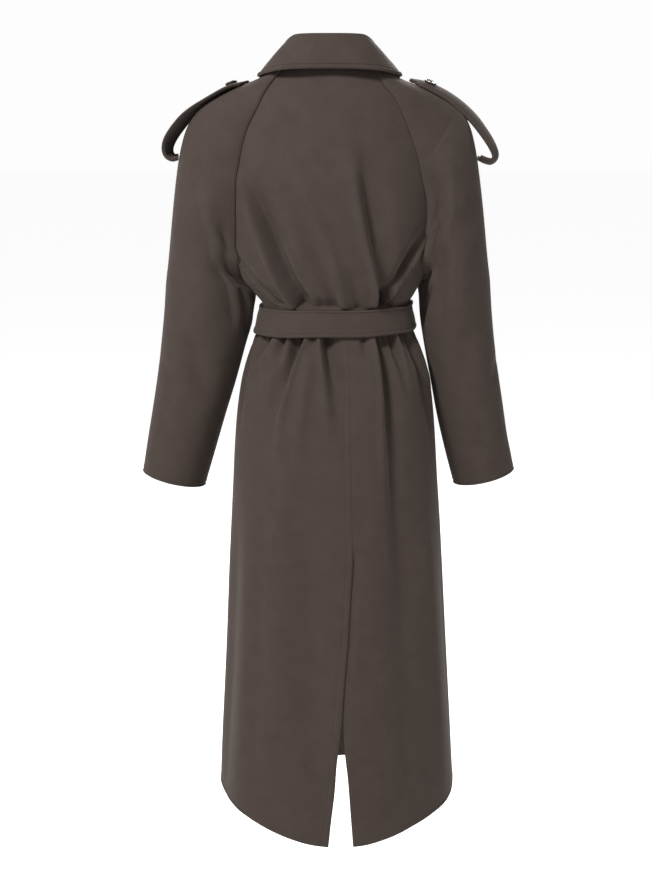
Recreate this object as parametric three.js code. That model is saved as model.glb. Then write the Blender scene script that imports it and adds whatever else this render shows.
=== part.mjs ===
// Long belted wool coat with raglan sleeves, worn and filled out, hollow from neck to hem.
// Millimetres, +Z up, +Y towards the wearer's back, +X towards the wearer's left.
// The origin is the middle of the neck base, where the wearer's shoulders carry the coat.
// A place on the body is given by its turn about the middle, 0 at the centre back,
// 90 at the wearer's left side, 180 at the centre front, and by its height.
import * as THREE from 'three';

// Cloth
const wall = 2.6;
const seamGap = 0.4;
const collarWall = 3;
const ringRoundness = 2.25;
const wool = { color: 0x4d4440, roughness: 0.95, metalness: 0 };
const horn = { color: 0x2a2320, roughness: 0.45, metalness: 0 };

// Front overlap: the wearer's right front lies over the left
const frontLift = 8.2;
const frontLiftFrom = 0.1;
const frontLiftTo = 0.55;
const liftHigh = 20;
const liftLow = 150;
const lapelLift = 4.2;

// Centre back vent: its underlap passes below the left panel
const ventTop = -770;
const ventStep = -773;
const ventSink = 3.4;
const ventSinkRise = 34;
const ventBlend = 4;
const ventInset = 0.35;

// Belt
const beltWidth = 45;
const beltMiddle = -398.5;
const beltTilt = -0.03;
const beltCentre = -10;
const beltThickness = 4.2;
const beltRiseFrom = 88;
const beltRiseTo = 135;
const beltOut = 6.5;
const beltFrontOut = 15.4;
const beltEndThickness = 3.4;
const beltEndGap = 1.2;
const knotGap = 0.9;

// Shoulder straps and their buttons
const strapWidth = 52;
const strapThickness = 4.5;
const strapArch = 1 / 144;
const buttonRadius = 10;
const buttonThickness = 4;
const buttonSeat = 2;
const buttonSides = 20;

const V = THREE.Vector3;
const { clamp, degToRad, lerp, smoothstep } = THREE.MathUtils;

// A table's rows as objects with named columns
function table(columns, rows) {
  const names = columns.split(' ');
  return rows.map((row) => Object.fromEntries(names.map((name, i) => [name, row[i]])));
}

// A smooth curve through one column of a table, read by another column
function curve(rows, key, column) {
  const points = [...rows].sort((a, b) => a[key] - b[key]);
  const last = points.length - 1;
  const slopes = points.map((point, i) => {
    const before = points[Math.max(0, i - 1)];
    const after = points[Math.min(last, i + 1)];
    return (after[column] - before[column]) / (after[key] - before[key]);
  });
  return (at) => {
    let i = 0;
    while (i < last - 1 && at > points[i + 1][key]) i += 1;
    const span = points[i + 1][key] - points[i][key];
    const t = clamp((at - points[i][key]) / span, 0, 1);
    const t2 = t * t;
    const t3 = t2 * t;
    return (2 * t3 - 3 * t2 + 1) * points[i][column] + (t3 - 2 * t2 + t) * span * slopes[i]
      + (3 * t2 - 2 * t3) * points[i + 1][column] + (t3 - t2) * span * slopes[i + 1];
  };
}

// Rings of the body: middle, half width, and depths to the back and to the front
const rings = table('z shift half back front', [
  [6, 0, 80, 60, 40],
  [-10, 0, 96, 67, 46],
  [-35, 0, 124, 80, 58],
  [-60, 0, 144, 91, 73],
  [-110, 0, 164, 105, 99],
  [-175, 0, 172, 117, 118],
  [-240, 0, 170, 121, 124],
  [-300, -1, 159, 118, 119],
  [-335, -4, 146, 112, 112],
  [-360, -8, 129, 103, 103],
  [-378, -10, 117.5, 94, 93],
  [-400, -10, 121.5, 96, 95],
  [-422, -10, 126.5, 100, 98],
  [-445, -10, 137, 111, 108],
  [-470, -10, 146, 121, 116],
  [-510, -10, 155, 133, 124],
  [-567, -9.5, 162, 145, 131],
  [-668, -9.5, 169, 155, 137],
  [-796, -10.5, 178, 164, 143],
  [-954, -12, 187, 175, 149],
  [-1117, -13, 197, 184, 154],
  [-1240, -14, 203, 191, 158],
]);
const shiftAt = curve(rings, 'z', 'shift');
const halfAt = curve(rings, 'z', 'half');
const backAt = curve(rings, 'z', 'back');
const frontAt = curve(rings, 'z', 'front');

// The hem rises at the sides
const hem = table('turn z', [
  [0, -1238], [10, -1235], [20, -1228], [37, -1215], [53, -1205], [72, -1199],
  [90, -1198], [120, -1206], [150, -1222], [180, -1234],
]);
const hemAt = curve(hem, 'turn', 'z');

// Troughs and, where the depth is below zero, ridges of the body's cloth.
// Each runs from its top to its low end, with its turn at both and a bow between.
const foldColumns = 'top low turnTop turnLow bow width depth';
const folds = table(foldColumns, [
  [-185, -372, 49, 24, -3, 16, 14],
  [-215, -372, 36, 12, -3, 15, -3.5],
  [-160, -376, 25, 0, -4, 18, 8],
  [-120, -376, -14, -30, 4, 14, 11],
  [-190, -368, -8, -16, 1, 10, -2.5],
  [-250, -376, -68, -35, 3, 12, 9],
  [-280, -372, 70, 42, 0, 13, 5],
  [-425, -1240, 13, 31, 4, 24, -4],
  [-440, -1000, -21, -19, 0, 26, -4],
  [-620, -1300, -33, -35, 0, 26, 6],
  [-620, -1300, 12, 8, 0, 22, 5],
  [-640, -1300, -52, -60, 0, 28, -5],
  [-700, -1300, 66, 72, 0, 26, 5],
  [-200, -380, 118, 140, 0, 14, 5],
  [-200, -380, -118, -140, 0, 14, 5],
  [-300, -380, 160, 165, 0, 12, 4],
  [-300, -380, -160, -165, 0, 12, 4],
]);

// Gathers of the skirt, deepest below the belt and running out downwards
const gathers = table(foldColumns, [
  [-402, -500, 50, 72, 0, 12, 9],
  [-402, -480, 41, 37, 0, 10, 9],
  [-402, -640, 21, 38, 3, 13, 13],
  [-402, -600, 8.5, -0.5, -2, 12, 12],
  [-402, -860, -29.5, -36, 3, 14, 12],
  [-402, -520, -44, -45, 0, 10, 10],
  [-402, -640, -62, -69, 0, 13, 9],
  [-402, -600, 79, 70, 0, 13, 8],
  [-402, -700, 100, 108, 0, 13, 8],
  [-402, -1300, 122, 128, 0, 20, 8],
  [-402, -640, 145, 148, 0, 13, 7],
  [-402, -700, -100, -110, 0, 13, 8],
  [-402, -1300, -124, -130, 0, 20, 8],
  [-402, -620, -148, -150, 0, 13, 7],
]);
const foldRise = 0.3;
const foldFall = 0.55;
const gatherFall = 0.2;

// Seams and rails of the upper sleeves, from the neck to the underarm: turn and height of
// the back and the front seam, the rail over the shoulder, and the sleeve's half depth
const shoulderColumns = 'backTurn backZ midZ frontTurn frontZ topX topZ depth';
const leftShoulder = table(shoulderColumns, [
  [47, -6, 3, 139, -20, 84, -12, 47],
  [46, -35, -26, 140, -50, 112, -27, 58.5],
  [46, -64, -60, 140, -84, 140, -38, 67],
  [50, -100, -100, 137, -120, 166, -50, 70],
  [52.5, -135, -138, 135, -158, 190, -63.5, 73],
  [55, -180, -180, 133, -195, 207, -77, 74],
  [57, -223, -217, 131, -228, 222, -99, 75],
  [59, -255, -248, 127, -262, 232, -129, 75],
  [64, -285, -278, 121, -292, 240, -171, 75],
  [68, -313, -310, 114, -318, 247, -226, 74],
  [90, -350, -345, 90, -350, 254, -290, 73],
]);
const rightShoulder = table(shoulderColumns, [
  [41, -6, 3, 139, -20, 84, -12, 49],
  [39, -35, -26, 140, -50, 112, -27, 62],
  [43, -60, -60, 140, -84, 140, -38, 67],
  [46, -105, -100, 137, -120, 166, -50, 71],
  [50.5, -142, -138, 135, -158, 190, -63, 73],
  [54.5, -178, -180, 133, -195, 206, -76, 74],
  [59.5, -211, -217, 131, -228, 219, -98, 75],
  [62, -240, -248, 127, -262, 228, -130, 75],
  [64, -271, -278, 121, -289, 235, -171, 74],
  [65, -306, -310, 114, -313, 242, -222, 73],
  [90, -340, -345, 90, -340, 249, -285, 72],
]);

// The arm of each sleeve below the underarm: its outer and inner rails, and its depth
const armColumns = 'topX topZ innerX innerZ middleY depth';
const leftArm = table(armColumns, [
  [257, -315, 123, -358, 0, 72],
  [261, -345, 123, -372, -1, 71],
  [265, -390, 129, -407, -3, 69],
  [271, -440, 142, -455, -6, 66],
  [278, -490, 157, -508, -9, 62],
  [287, -542, 174, -562, -13, 59],
  [297, -595, 190, -616, -18, 56],
  [303, -628, 200.5, -651, -21, 54],
  [309, -661, 210.5, -685, -25, 52],
]);
const rightArm = table(armColumns, [
  [252, -310, 145, -349, 0, 71],
  [256, -340, 147, -364, -1, 70],
  [260, -388, 150, -402, -3, 68],
  [266, -440, 159, -455, -6, 65],
  [274, -492, 169.5, -508, -9, 62],
  [283, -544, 180, -562, -13, 59],
  [292, -596, 193, -616, -18, 56],
  [299, -627, 202, -650, -21, 54],
  [306, -658, 211, -682, -25, 52],
]);

// Folds of the sleeves: heights, angles round the arm from its outer rail, and depth
const sleeveFoldColumns = 'top low angleTop angleLow width depth';
const leftSleeveFolds = table(sleeveFoldColumns, [
  [-230, -385, 94, 168, 16, 12],
  [-295, -430, 105, 137, 14, 7],
  [-180, -330, 70, 100, 16, -3],
  [-400, -520, 60, 120, 18, 3.5],
  [-430, -520, -110, -60, 20, 7],
  [-240, -360, -100, -150, 16, 8],
]);
const rightSleeveFolds = table(sleeveFoldColumns, [
  [-120, -410, 84, 123, 14, 9],
  [-170, -420, 64, 98, 14, -3],
  [-250, -380, 118, 166, 14, 9],
  [-430, -520, -110, -60, 20, 7],
  [-400, -510, 60, 111, 19, 4],
  [-240, -360, -100, -150, 16, 8],
]);
const sleeveFoldRise = 0.35;
const sleeveFoldFall = 0.65;
const sleeveSeamFrom = 0.8;
const sleeveHalfSteps = 11;

// Front edge, as its distance from the middle on the panel's own side: roll line, then edge
const frontEdge = table('z reach', [
  [-14, 52], [-93, 19], [-172, -14], [-251, -47], [-320, -76], [-345, -82],
  [-400, -80], [-700, -92], [-1240, -105],
]);
const reachAt = curve(frontEdge, 'z', 'reach');
const neckRise = 6;

// Lapels: height of each row at the roll line, its width and how far it falls outwards
const lapelColumns = 'z width fall';
const rightLapel = table(lapelColumns, [
  [-50, 60, 30], [-90, 66, 24], [-135, 58, 14], [-180, 46, 6], [-225, 33, 0],
  [-270, 19, 0], [-312, 4, 0],
]);
const leftLapel = table(lapelColumns, [
  [-50, 60, 30], [-85, 64, 22], [-115, 52, 12], [-145, 36, 5], [-172, 20, 0], [-196, 4, 0],
]);

// Collar: its fold line round the neck, and the lower edge of its fall
const foldHalf = 72;
const foldBack = 70;
const foldFront = 66;
const collarEnd = 130;
const collarFold = table('angle z', [
  [0, 39], [30, 39], [48, 38], [60, 34], [75, 28.5], [90, 23], [112, 12], [130, -1],
]);
const collarEdge = table('angle x y z', [
  [-25, -50, 84, -11.5], [0, 0, 85, -11], [25, 50, 84, -11.5], [42, 78, 73, -13],
  [58, 99, 50, -16.5], [75, 111, 22, -19], [90, 115, -4, -20], [103, 114, -30, -19],
  [112, 110, -51, -27], [120, 103, -68, -43], [126, 96, -79, -62], [130, 89, -87, -78],
]);
const collarRoll = 3.5;
const collarFrontRoll = 7;
const collarRollFrom = 80;
const collarRollTo = 110;

// Collar stand: how far its top edge stays below the fold, at the back and at the front
const standBackDrop = 1;
const standFrontDrop = 4.5;
const standDropFrom = 50;
const standDropTo = 100;

// Centre back seam and the edges of the vent, as turns
const backSeam = table('z turn', [
  [-400, -6.9], [-440, -6.6], [-482, -6.2], [-560, -6.4], [-660, -6.7], [-770, -6.7],
]);
const ventLeftEdge = table('z turn', [
  [-773, -6.7], [-841, -5.2], [-896, -4.2], [-972, -2.4], [-1022, -1.5], [-1089, 0],
  [-1147, 0.9], [-1197, 2.2], [-1238, 3.2],
]);
const ventRightEdge = table('z turn', [
  [-773, 3.2], [-841, 1.6], [-896, 0.4], [-972, -1.7], [-1022, -1.9], [-1075, -2.3],
  [-1126, -3.5], [-1177, -4.3], [-1238, -5.2],
]);

// Middle line of each shoulder strap from the neck end to the sleeve, and its lean:
// above zero where the back edge lies lower
const strapColumns = 'x z lean';
const leftStrap = table(strapColumns, [
  [127, -29.4, -2], [140, -31.7, -4], [153, -34.5, -6], [167, -41, -8], [182, -49.5, -9],
  [198, -59, -10], [214, -69.5, -12], [229, -82, -14], [241, -95.5, -15], [251, -109, -15],
  [257.5, -121, -14], [260, -132, -12], [258.5, -141, -10], [254, -147, -8],
  [247.5, -149.5, -6], [240.5, -148, -4],
]);
const rightStrap = table(strapColumns, [
  [-127, -26.5, 5], [-141, -28.5, 9], [-157, -33, 13], [-173, -40.5, 15], [-189, -49.5, 16],
  [-204, -60.5, 18], [-218, -72, 18], [-232, -86, 18], [-244, -101, 17], [-254, -115, 16],
  [-262, -129, 14], [-266, -141, 12], [-263.5, -150, 9], [-256, -155, 7],
  [-246, -153, 5], [-235.5, -148, 3],
]);
const strapEnd = table('row share', [
  [0, 0.3], [1, 0.95], [2, 1], [15, 1],
]);
const strapShareAt = curve(strapEnd, 'row', 'share');

// Middle line of each hanging belt end on the skirt, and its width
const endColumns = 'z offset width';
const leftEnd = table(endColumns, [
  [-431, 8, 24], [-450, 12, 34], [-480, 18, 42], [-510, 22, 43], [-540, 26, 44],
  [-580, 30, 45], [-620, 33, 45],
  [-700, 38, 45], [-760, 41, 45], [-772, 41.5, 30],
]);
const rightEnd = table(endColumns, [
  [-431, -24, 24], [-450, -29, 34], [-480, -36, 42], [-510, -41, 43], [-540, -45, 44],
  [-580, -49, 45], [-620, -52, 45],
  [-690, -56, 45], [-730, -58, 45], [-742, -58.5, 30],
]);

// The knot: rings from its upper to its lower end, outside the belt
const knotRings = table('z half depth', [
  [-372, 15, 7], [-379, 21, 13], [-390, 24, 17], [-402, 25, 18], [-414, 24, 17],
  [-424, 20, 13], [-430, 14, 8],
]);

const power = (value) => Math.sign(value) * Math.abs(value) ** (2 / ringRoundness);

// A point of the body's plain surface, before its folds
function plainPoint(turn, z) {
  const angle = degToRad(turn);
  const rear = Math.cos(angle);
  const depth = rear > 0 ? backAt(z) : frontAt(z);
  return new V(shiftAt(z) + halfAt(z) * power(Math.sin(angle)), depth * power(rear), z);
}

// The direction out of a surface, from four points close to the place
function facing(surface, turn, z) {
  const step = 1;
  const across = surface(turn + step, z).sub(surface(turn - step, z));
  const up = surface(turn, z + step).sub(surface(turn, z - step));
  return up.cross(across).normalize();
}

// Height of one table's folds at a place on the body, with each fold's fade along its run
function foldHeight(rows, turn, z, fade) {
  let height = 0;
  for (const fold of rows) {
    const run = (fold.top - z) / (fold.top - fold.low);
    if (run > 0 && run < 1) {
      const middle = lerp(fold.turnTop, fold.turnLow, run) + 4 * fold.bow * run * (1 - run);
      const away = ((turn - middle + 540) % 360) - 180;
      const across = degToRad(away) * halfAt(z) / fold.width;
      height -= fold.depth * fade(run) * Math.exp(-across * across);
    }
  }
  return height;
}

const foldFade = (run) => smoothstep(run, 0, foldRise) * (1 - smoothstep(run, foldFall, 1));
const gatherFade = (run) => 1 - smoothstep(run, gatherFall, 1);

// A point of the body's cloth, and the same moved out
function bodyPoint(turn, z, out = 0) {
  const folded = foldHeight(folds, turn, z, foldFade) + foldHeight(gathers, turn, z, gatherFade);
  return plainPoint(turn, z).addScaledVector(facing(plainPoint, turn, z), folded + out);
}

// A place on a wall: its outer point and the inner one behind it
function clothPoint(turn, z, out = 0, thickness = wall) {
  const outer = bodyPoint(turn, z, out);
  const inward = facing(bodyPoint, turn, z);
  return { outer, inner: outer.clone().addScaledVector(inward, -thickness) };
}

// Draws a wall's row of places towards its neighbour, which leaves half of a seam's gap
function drawIn(edge, next) {
  edge.forEach((place, i) => {
    const step = next[i].outer.clone().sub(place.outer).setLength(seamGap / 2);
    place.outer.add(step);
    place.inner.add(step);
  });
}

function columnOf(grid, j) {
  return grid.map((row) => row[j]);
}

function openSeams(grid, sides) {
  const last = grid[0].length - 1;
  if (sides.includes('top')) drawIn(grid[0], grid[1]);
  if (sides.includes('low')) drawIn(grid[grid.length - 1], grid[grid.length - 2]);
  if (sides.includes('first')) drawIn(columnOf(grid, 0), columnOf(grid, 1));
  if (sides.includes('last')) drawIn(columnOf(grid, last), columnOf(grid, last - 1));
}

// A closed wall from a grid of places. From the row joinedFrom on, its last column is its first.
function wallMesh(name, grid, finish, joinedFrom = Infinity) {
  const rows = grid.length;
  const columns = grid[0].length;
  const positions = [];
  const numbers = grid.map((row, i) => row.map((place, j) => {
    if (i >= joinedFrom && j === columns - 1) return null;
    positions.push(...place.outer.toArray(), ...place.inner.toArray());
    return positions.length / 3 - 2;
  }));
  numbers.forEach((row) => {
    if (row[columns - 1] === null) row[columns - 1] = row[0];
  });
  const index = [];
  const quad = (a, b, c, d) => index.push(a, b, c, a, c, d);
  for (let i = 0; i < rows - 1; i += 1) {
    for (let j = 0; j < columns - 1; j += 1) {
      const [a, b] = [numbers[i][j], numbers[i][j + 1]];
      const [d, c] = [numbers[i + 1][j], numbers[i + 1][j + 1]];
      quad(a, b, c, d);
      quad(a + 1, d + 1, c + 1, b + 1);
    }
    if (i < joinedFrom) {
      const [a, d] = [numbers[i][0], numbers[i + 1][0]];
      const [b, c] = [numbers[i][columns - 1], numbers[i + 1][columns - 1]];
      quad(a, d, d + 1, a + 1);
      quad(c, b, b + 1, c + 1);
    }
  }
  for (let j = 0; j < columns - 1; j += 1) {
    const [a, b] = [numbers[0][j], numbers[0][j + 1]];
    const [d, c] = [numbers[rows - 1][j], numbers[rows - 1][j + 1]];
    quad(a, a + 1, b + 1, b);
    quad(d, c, c + 1, d + 1);
  }
  return solidMesh(name, positions, index, finish);
}

// A named mesh whose faces point outwards
function solidMesh(name, positions, index, finish) {
  const corner = (i) => new V().fromArray(positions, 3 * i);
  let volume = 0;
  for (let i = 0; i < index.length; i += 3) {
    volume += corner(index[i]).dot(corner(index[i + 1]).cross(corner(index[i + 2])));
  }
  if (volume < 0) index.reverse();
  const geometry = new THREE.BufferGeometry();
  geometry.setAttribute('position', new THREE.Float32BufferAttribute(positions, 3));
  geometry.setIndex(index);
  geometry.computeVertexNormals();
  const mesh = new THREE.Mesh(geometry, new THREE.MeshStandardMaterial(finish));
  mesh.name = name;
  return mesh;
}

const steps = (count) => Array.from({ length: count + 1 }, (_, i) => i / count);

// Back above the waist, one piece between the two back seams and the side seams
function backBodice() {
  const columns = 30;
  const waistRows = [
    { leftZ: -366, rightZ: -361, midZ: -366 },
    { leftZ: -382, rightZ: -380, midZ: -382 },
    { leftZ: -400, rightZ: -400, midZ: -400 },
  ];
  const upper = leftShoulder.map((row, i) => ({
    left: row.backTurn,
    right: -rightShoulder[i].backTurn,
    leftZ: row.backZ,
    rightZ: rightShoulder[i].backZ,
    midZ: row.midZ,
  }));
  const rows = [...upper, ...waistRows.map((row) => ({ left: 90, right: -90, ...row }))];
  const grid = rows.map((row) => steps(columns).map((share) => {
    const middle = 4 * share * (1 - share);
    const side = lerp(row.rightZ, row.leftZ, share);
    const level = lerp(row.rightZ, row.leftZ, 0.5);
    return clothPoint(lerp(row.right, row.left, share), side + middle * (row.midZ - level));
  }));
  openSeams(grid, ['low', 'first', 'last']);
  return wallMesh('back_bodice', grid, wool);
}

const waistHeights = [-366, -382];
const skirtHeights = [-400, -418, -440, -462, -490, -525, -570, -630, -700, -752];
const ventHeights = [-773, -830, -900, -980, -1060, -1140, -1190];

// Height on the skirt: level at the waist, along the hem's rise at the bottom
function skirtHeight(z, turn) {
  const low = hemAt(0);
  const share = clamp((z - ventTop) / (low - ventTop), 0, 1);
  const around = Math.min(Math.abs(turn), 360 - Math.abs(turn));
  return z + share * (hemAt(around) - low);
}

// How far the right panel sinks below the left one at the vent
function ventDepth(turn, z) {
  const down = smoothstep(-z, -ventTop - ventSinkRise, -ventTop);
  const edge = backSeamAt(z) - ventInset;
  const across = smoothstep(turn, edge - ventBlend, edge);
  return ventSink * down * across;
}

const backSeamCurve = curve(backSeam, 'z', 'turn');
const ventLeftCurve = curve(ventLeftEdge, 'z', 'turn');
const ventRightCurve = curve(ventRightEdge, 'z', 'turn');

function backSeamAt(z) {
  return z >= ventTop ? backSeamCurve(z) : ventLeftCurve(z);
}

// One back panel of the skirt, from the side seam to the centre back
function backSkirt(name, side) {
  const heights = [...skirtHeights, ventTop, ...ventHeights, hemAt(0)];
  const grid = heights.map((z) => {
    const inVent = z <= ventStep;
    const edge = inVent && side < 0 ? ventRightCurve(z) : backSeamAt(z);
    const inset = (side > 0 ? edge : Math.min(edge, backSeamAt(z))) + side * ventInset;
    const main = steps(14).map((share) => lerp(side * 90, inset, share));
    const border = steps(2).slice(1).map((share) => lerp(inset, edge, share));
    return [...main, ...border].map((turn) => {
      const out = side < 0 ? -ventDepth(turn, z) : 0;
      return clothPoint(turn, skirtHeight(z, turn), out);
    });
  });
  openSeams(grid, ['top', 'first', 'last']);
  return wallMesh(name, grid, wool);
}

// Turn of a place on the front at a distance from the middle, on the panel's own side
function frontTurn(reach, z) {
  const share = reach / halfAt(z);
  const sine = Math.sign(share) * Math.abs(share) ** (ringRoundness / 2);
  return 180 - THREE.MathUtils.radToDeg(Math.asin(sine));
}

// Lift of the right front where it lies over the left one
function overlapLift(side, turn, z, seamTurn) {
  if (side > 0) return 0;
  const edge = frontTurn(reachAt(z), z);
  const share = (Math.abs(turn) - seamTurn) / (edge - seamTurn);
  const down = smoothstep(-z, liftHigh, liftLow);
  return frontLift * down * smoothstep(share, frontLiftFrom, frontLiftTo);
}

const seamTurnAt = curve(leftShoulder, 'frontZ', 'frontTurn');

// One front, from the raglan and side seams to its edge, in one length to the hem
function frontPanel(name, side) {
  const columns = 17;
  const shoulder = side > 0 ? leftShoulder : rightShoulder;
  const upper = shoulder.map((row, i) => ({
    seam: row.frontTurn,
    seamZ: row.frontZ,
    edgeZ: row.frontZ + neckRise * (1 - i / (shoulder.length - 1)),
  }));
  const skirt = [...skirtHeights.slice(0, -1), ventTop, ...ventHeights, hemAt(0)];
  const lower = [...waistHeights, ...skirt].map((z) => ({ seam: 90, seamZ: z, edgeZ: z }));
  const grid = [...upper, ...lower].map((row) => {
    const edge = frontTurn(reachAt(row.edgeZ), row.edgeZ);
    return steps(columns).map((share) => {
      const turn = lerp(row.seam, edge, share);
      const z = skirtHeight(lerp(row.seamZ, row.edgeZ, share), turn);
      return clothPoint(side * turn, z, overlapLift(side, turn, z, row.seam));
    });
  });
  openSeams(grid, ['first']);
  return wallMesh(name, grid, wool);
}

// A lapel turned back on its front, which it lies on
function lapel(name, side, rows) {
  const columns = 6;
  const grid = rows.map((row) => steps(columns).map((share) => {
    const z = row.z - share * row.fall;
    const turn = frontTurn(reachAt(row.z) + 1 + share * row.width, z);
    const seamTurn = z > leftShoulder.at(-1).frontZ ? seamTurnAt(z) : 90;
    const lift = overlapLift(side, turn, z, seamTurn) + lapelLift;
    return clothPoint(side * turn, z, lift);
  }));
  return wallMesh(name, grid, wool);
}

// One ring of a sleeve from its back end over its outer rail to its front end
function sleeveRing(side, row, folds) {
  const top = new V(side * row.topX, row.middleY, row.topZ);
  const arcs = [row.back, row.front].map((end, front) => {
    const away = Math.abs(end.y - row.middleY) / row.depth;
    const reach = Math.PI - Math.asin(Math.min(1, away));
    const axis = top.clone().sub(end).setY(0).divideScalar(1 - Math.cos(reach));
    const sign = front ? -1 : 1;
    return steps(sleeveHalfSteps).map((share) => {
      const angle = share * reach;
      const point = top.clone().addScaledVector(axis, Math.cos(angle) - 1);
      point.y += sign * row.depth * Math.sin(angle);
      const out = axis.clone().multiplyScalar(Math.cos(angle) / axis.lengthSq());
      out.y = sign * Math.sin(angle) / row.depth;
      out.normalize();
      const seamFade = row.open ? 1 - smoothstep(share, sleeveSeamFrom, 1) : 1;
      const degrees = sign * THREE.MathUtils.radToDeg(angle);
      point.addScaledVector(out, seamFade * sleeveFoldHeight(folds, degrees, point.z));
      return point;
    });
  });
  return [...arcs[0].reverse(), ...arcs[1].slice(1)];
}

function sleeveFoldHeight(rows, angle, z) {
  let height = 0;
  for (const fold of rows) {
    const run = (fold.top - z) / (fold.top - fold.low);
    if (run > 0 && run < 1) {
      const across = (angle - lerp(fold.angleTop, fold.angleLow, run)) / fold.width;
      const fade = smoothstep(run, 0, sleeveFoldRise) * (1 - smoothstep(run, sleeveFoldFall, 1));
      height -= fold.depth * fade * Math.exp(-across * across);
    }
  }
  return height;
}

// One sleeve: open along the raglan seams, joined round the arm from the underarm down
function sleeve(name, side, shoulder, arm, folds) {
  const open = shoulder.map((row) => ({
    ...row,
    open: true,
    middleY: 0,
    seamBack: clothPoint(side * row.backTurn, row.backZ),
    seamFront: clothPoint(side * row.frontTurn, row.frontZ),
  }));
  const lower = arm.map((row) => {
    const inner = new V(side * row.innerX, row.middleY, row.innerZ);
    return { ...row, open: false, back: inner, front: inner };
  });
  const underarm = open.length - 1;
  const surface = [...open, ...lower].map((row) => {
    const back = row.open ? row.seamBack.outer : row.back;
    const front = row.open ? row.seamFront.outer : row.front;
    return sleeveRing(side, { ...row, back, front }, folds);
  });
  const grid = surface.map((ring, i) => ring.map((outer, j) => {
    const last = ring.length - 1;
    if (i < underarm && j === 0) return open[i].seamBack;
    if (i < underarm && j === last) return open[i].seamFront;
    const closed = i >= underarm;
    const before = ring[closed && j === 0 ? last - 1 : j - 1];
    const after = ring[closed && j === last ? 1 : j + 1];
    const above = surface[Math.max(0, i - 1)][j];
    const below = surface[Math.min(surface.length - 1, i + 1)][j];
    const out = below.clone().sub(above).cross(after.clone().sub(before)).normalize();
    return { outer, inner: outer.clone().addScaledVector(out, side * wall) };
  }));
  openSeams(grid.slice(0, underarm), ['first', 'last']);
  const armpit = grid[underarm];
  const away = new V(side * seamGap, 0, 0);
  for (const place of [armpit[0], armpit.at(-1)]) {
    place.outer.add(away);
    place.inner.copy(place.outer).add(new V(side, 0, wall));
  }
  return { mesh: wallMesh(name, grid, wool, underarm), neck: grid[0] };
}

// The collar's fold line, and its direction out, at an angle round the neck
function foldPoint(angle) {
  const rear = Math.cos(degToRad(angle));
  const depth = rear > 0 ? foldBack : foldFront;
  const z = curve(collarFold, 'angle', 'z')(Math.abs(angle));
  return new V(foldHalf * power(Math.sin(degToRad(angle))), depth * power(rear), z);
}

function edgePoint(angle) {
  const at = Math.abs(angle);
  const point = ['x', 'y', 'z'].map((axis) => curve(collarEdge, 'angle', axis)(at));
  return new V(Math.sign(angle) * point[0], point[1], point[2]);
}

// The collar's stand, on the neck edges of the fronts, sleeves and back
function collarStand(neckLine) {
  const rise = 0.5;
  const inset = collarWall + 1;
  const bottom = neckLine.map((place) => place.outer);
  const top = bottom.map((point) => {
    const angle = THREE.MathUtils.radToDeg(Math.atan2(point.x, point.y));
    const fold = foldPoint(clamp(angle, -collarEnd, collarEnd));
    const out = new V(fold.x, fold.y, 0).normalize();
    const forward = smoothstep(Math.abs(angle), standDropFrom, standDropTo);
    const drop = lerp(standBackDrop, standFrontDrop, forward);
    return fold.addScaledVector(out, -inset).setZ(fold.z - drop);
  });
  const grid = steps(1).map((share) => bottom.map((point, i) => {
    const outer = point.clone().setZ(point.z + rise).lerp(top[i], share);
    const out = new V(outer.x, outer.y, 0).normalize();
    return { outer, inner: outer.clone().addScaledVector(out, -wall) };
  }));
  return wallMesh('collar_stand', grid, wool);
}

// The collar's fall, from the fold line out over the shoulders to its points
function collarFall() {
  const columns = 44;
  const rows = 6;
  const outwards = 40;
  const surface = (angle, share) => {
    const point = foldPoint(angle).lerp(edgePoint(angle), share);
    const out = new V(point.x, point.y, 0).normalize();
    const bend = Math.sin(Math.PI * share);
    const forward = smoothstep(Math.abs(angle), collarRollFrom, collarRollTo);
    point.z += collarFrontRoll * bend * forward;
    return point.addScaledVector(out, collarRoll * bend * (1 - share));
  };
  const grid = steps(rows).map((share) => steps(columns).map((run) => {
    const angle = lerp(-collarEnd, collarEnd, run);
    const outer = surface(angle, share);
    const step = 0.02;
    const along = surface(angle + 1, share).sub(surface(angle - 1, share));
    const down = surface(angle, share + step).sub(surface(angle, share - step));
    const out = along.cross(down).normalize();
    if (out.dot(new V(outer.x, outer.y, outwards)) < 0) out.negate();
    return { outer, inner: outer.clone().addScaledVector(out, -collarWall) };
  }));
  return wallMesh('collar_fall', grid, wool);
}

// One shoulder strap, buttoned at the neck, looped over the shoulder and sewn to the sleeve
function strapFrame(rows, i) {
  const before = rows[Math.max(0, i - 1)];
  const after = rows[Math.min(rows.length - 1, i + 1)];
  const along = new V(after.x - before.x, 0, after.z - before.z).normalize();
  const side = Math.sign(rows[0].x);
  const up = new V(-along.z, 0, along.x).multiplyScalar(side);
  const lean = degToRad(rows[i].lean);
  const across = new V(0, Math.cos(lean), 0).addScaledVector(up, -Math.sin(lean));
  const out = up.clone().multiplyScalar(Math.cos(lean)).add(new V(0, Math.sin(lean), 0));
  return { centre: new V(rows[i].x, 0, rows[i].z), across, out };
}

function shoulderStrap(name, rows) {
  const columns = 6;
  const grid = rows.map((row, i) => {
    const { centre, across, out } = strapFrame(rows, i);
    const width = strapWidth * strapShareAt(i);
    return steps(columns).map((share) => {
      const offset = (share - 0.5) * width;
      const middle = centre.clone().addScaledVector(across, offset);
      middle.addScaledVector(out, -offset * offset * strapArch);
      const half = strapThickness / 2;
      return {
        outer: middle.clone().addScaledVector(out, half),
        inner: middle.clone().addScaledVector(out, -half),
      };
    });
  });
  return wallMesh(name, grid, wool);
}

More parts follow.
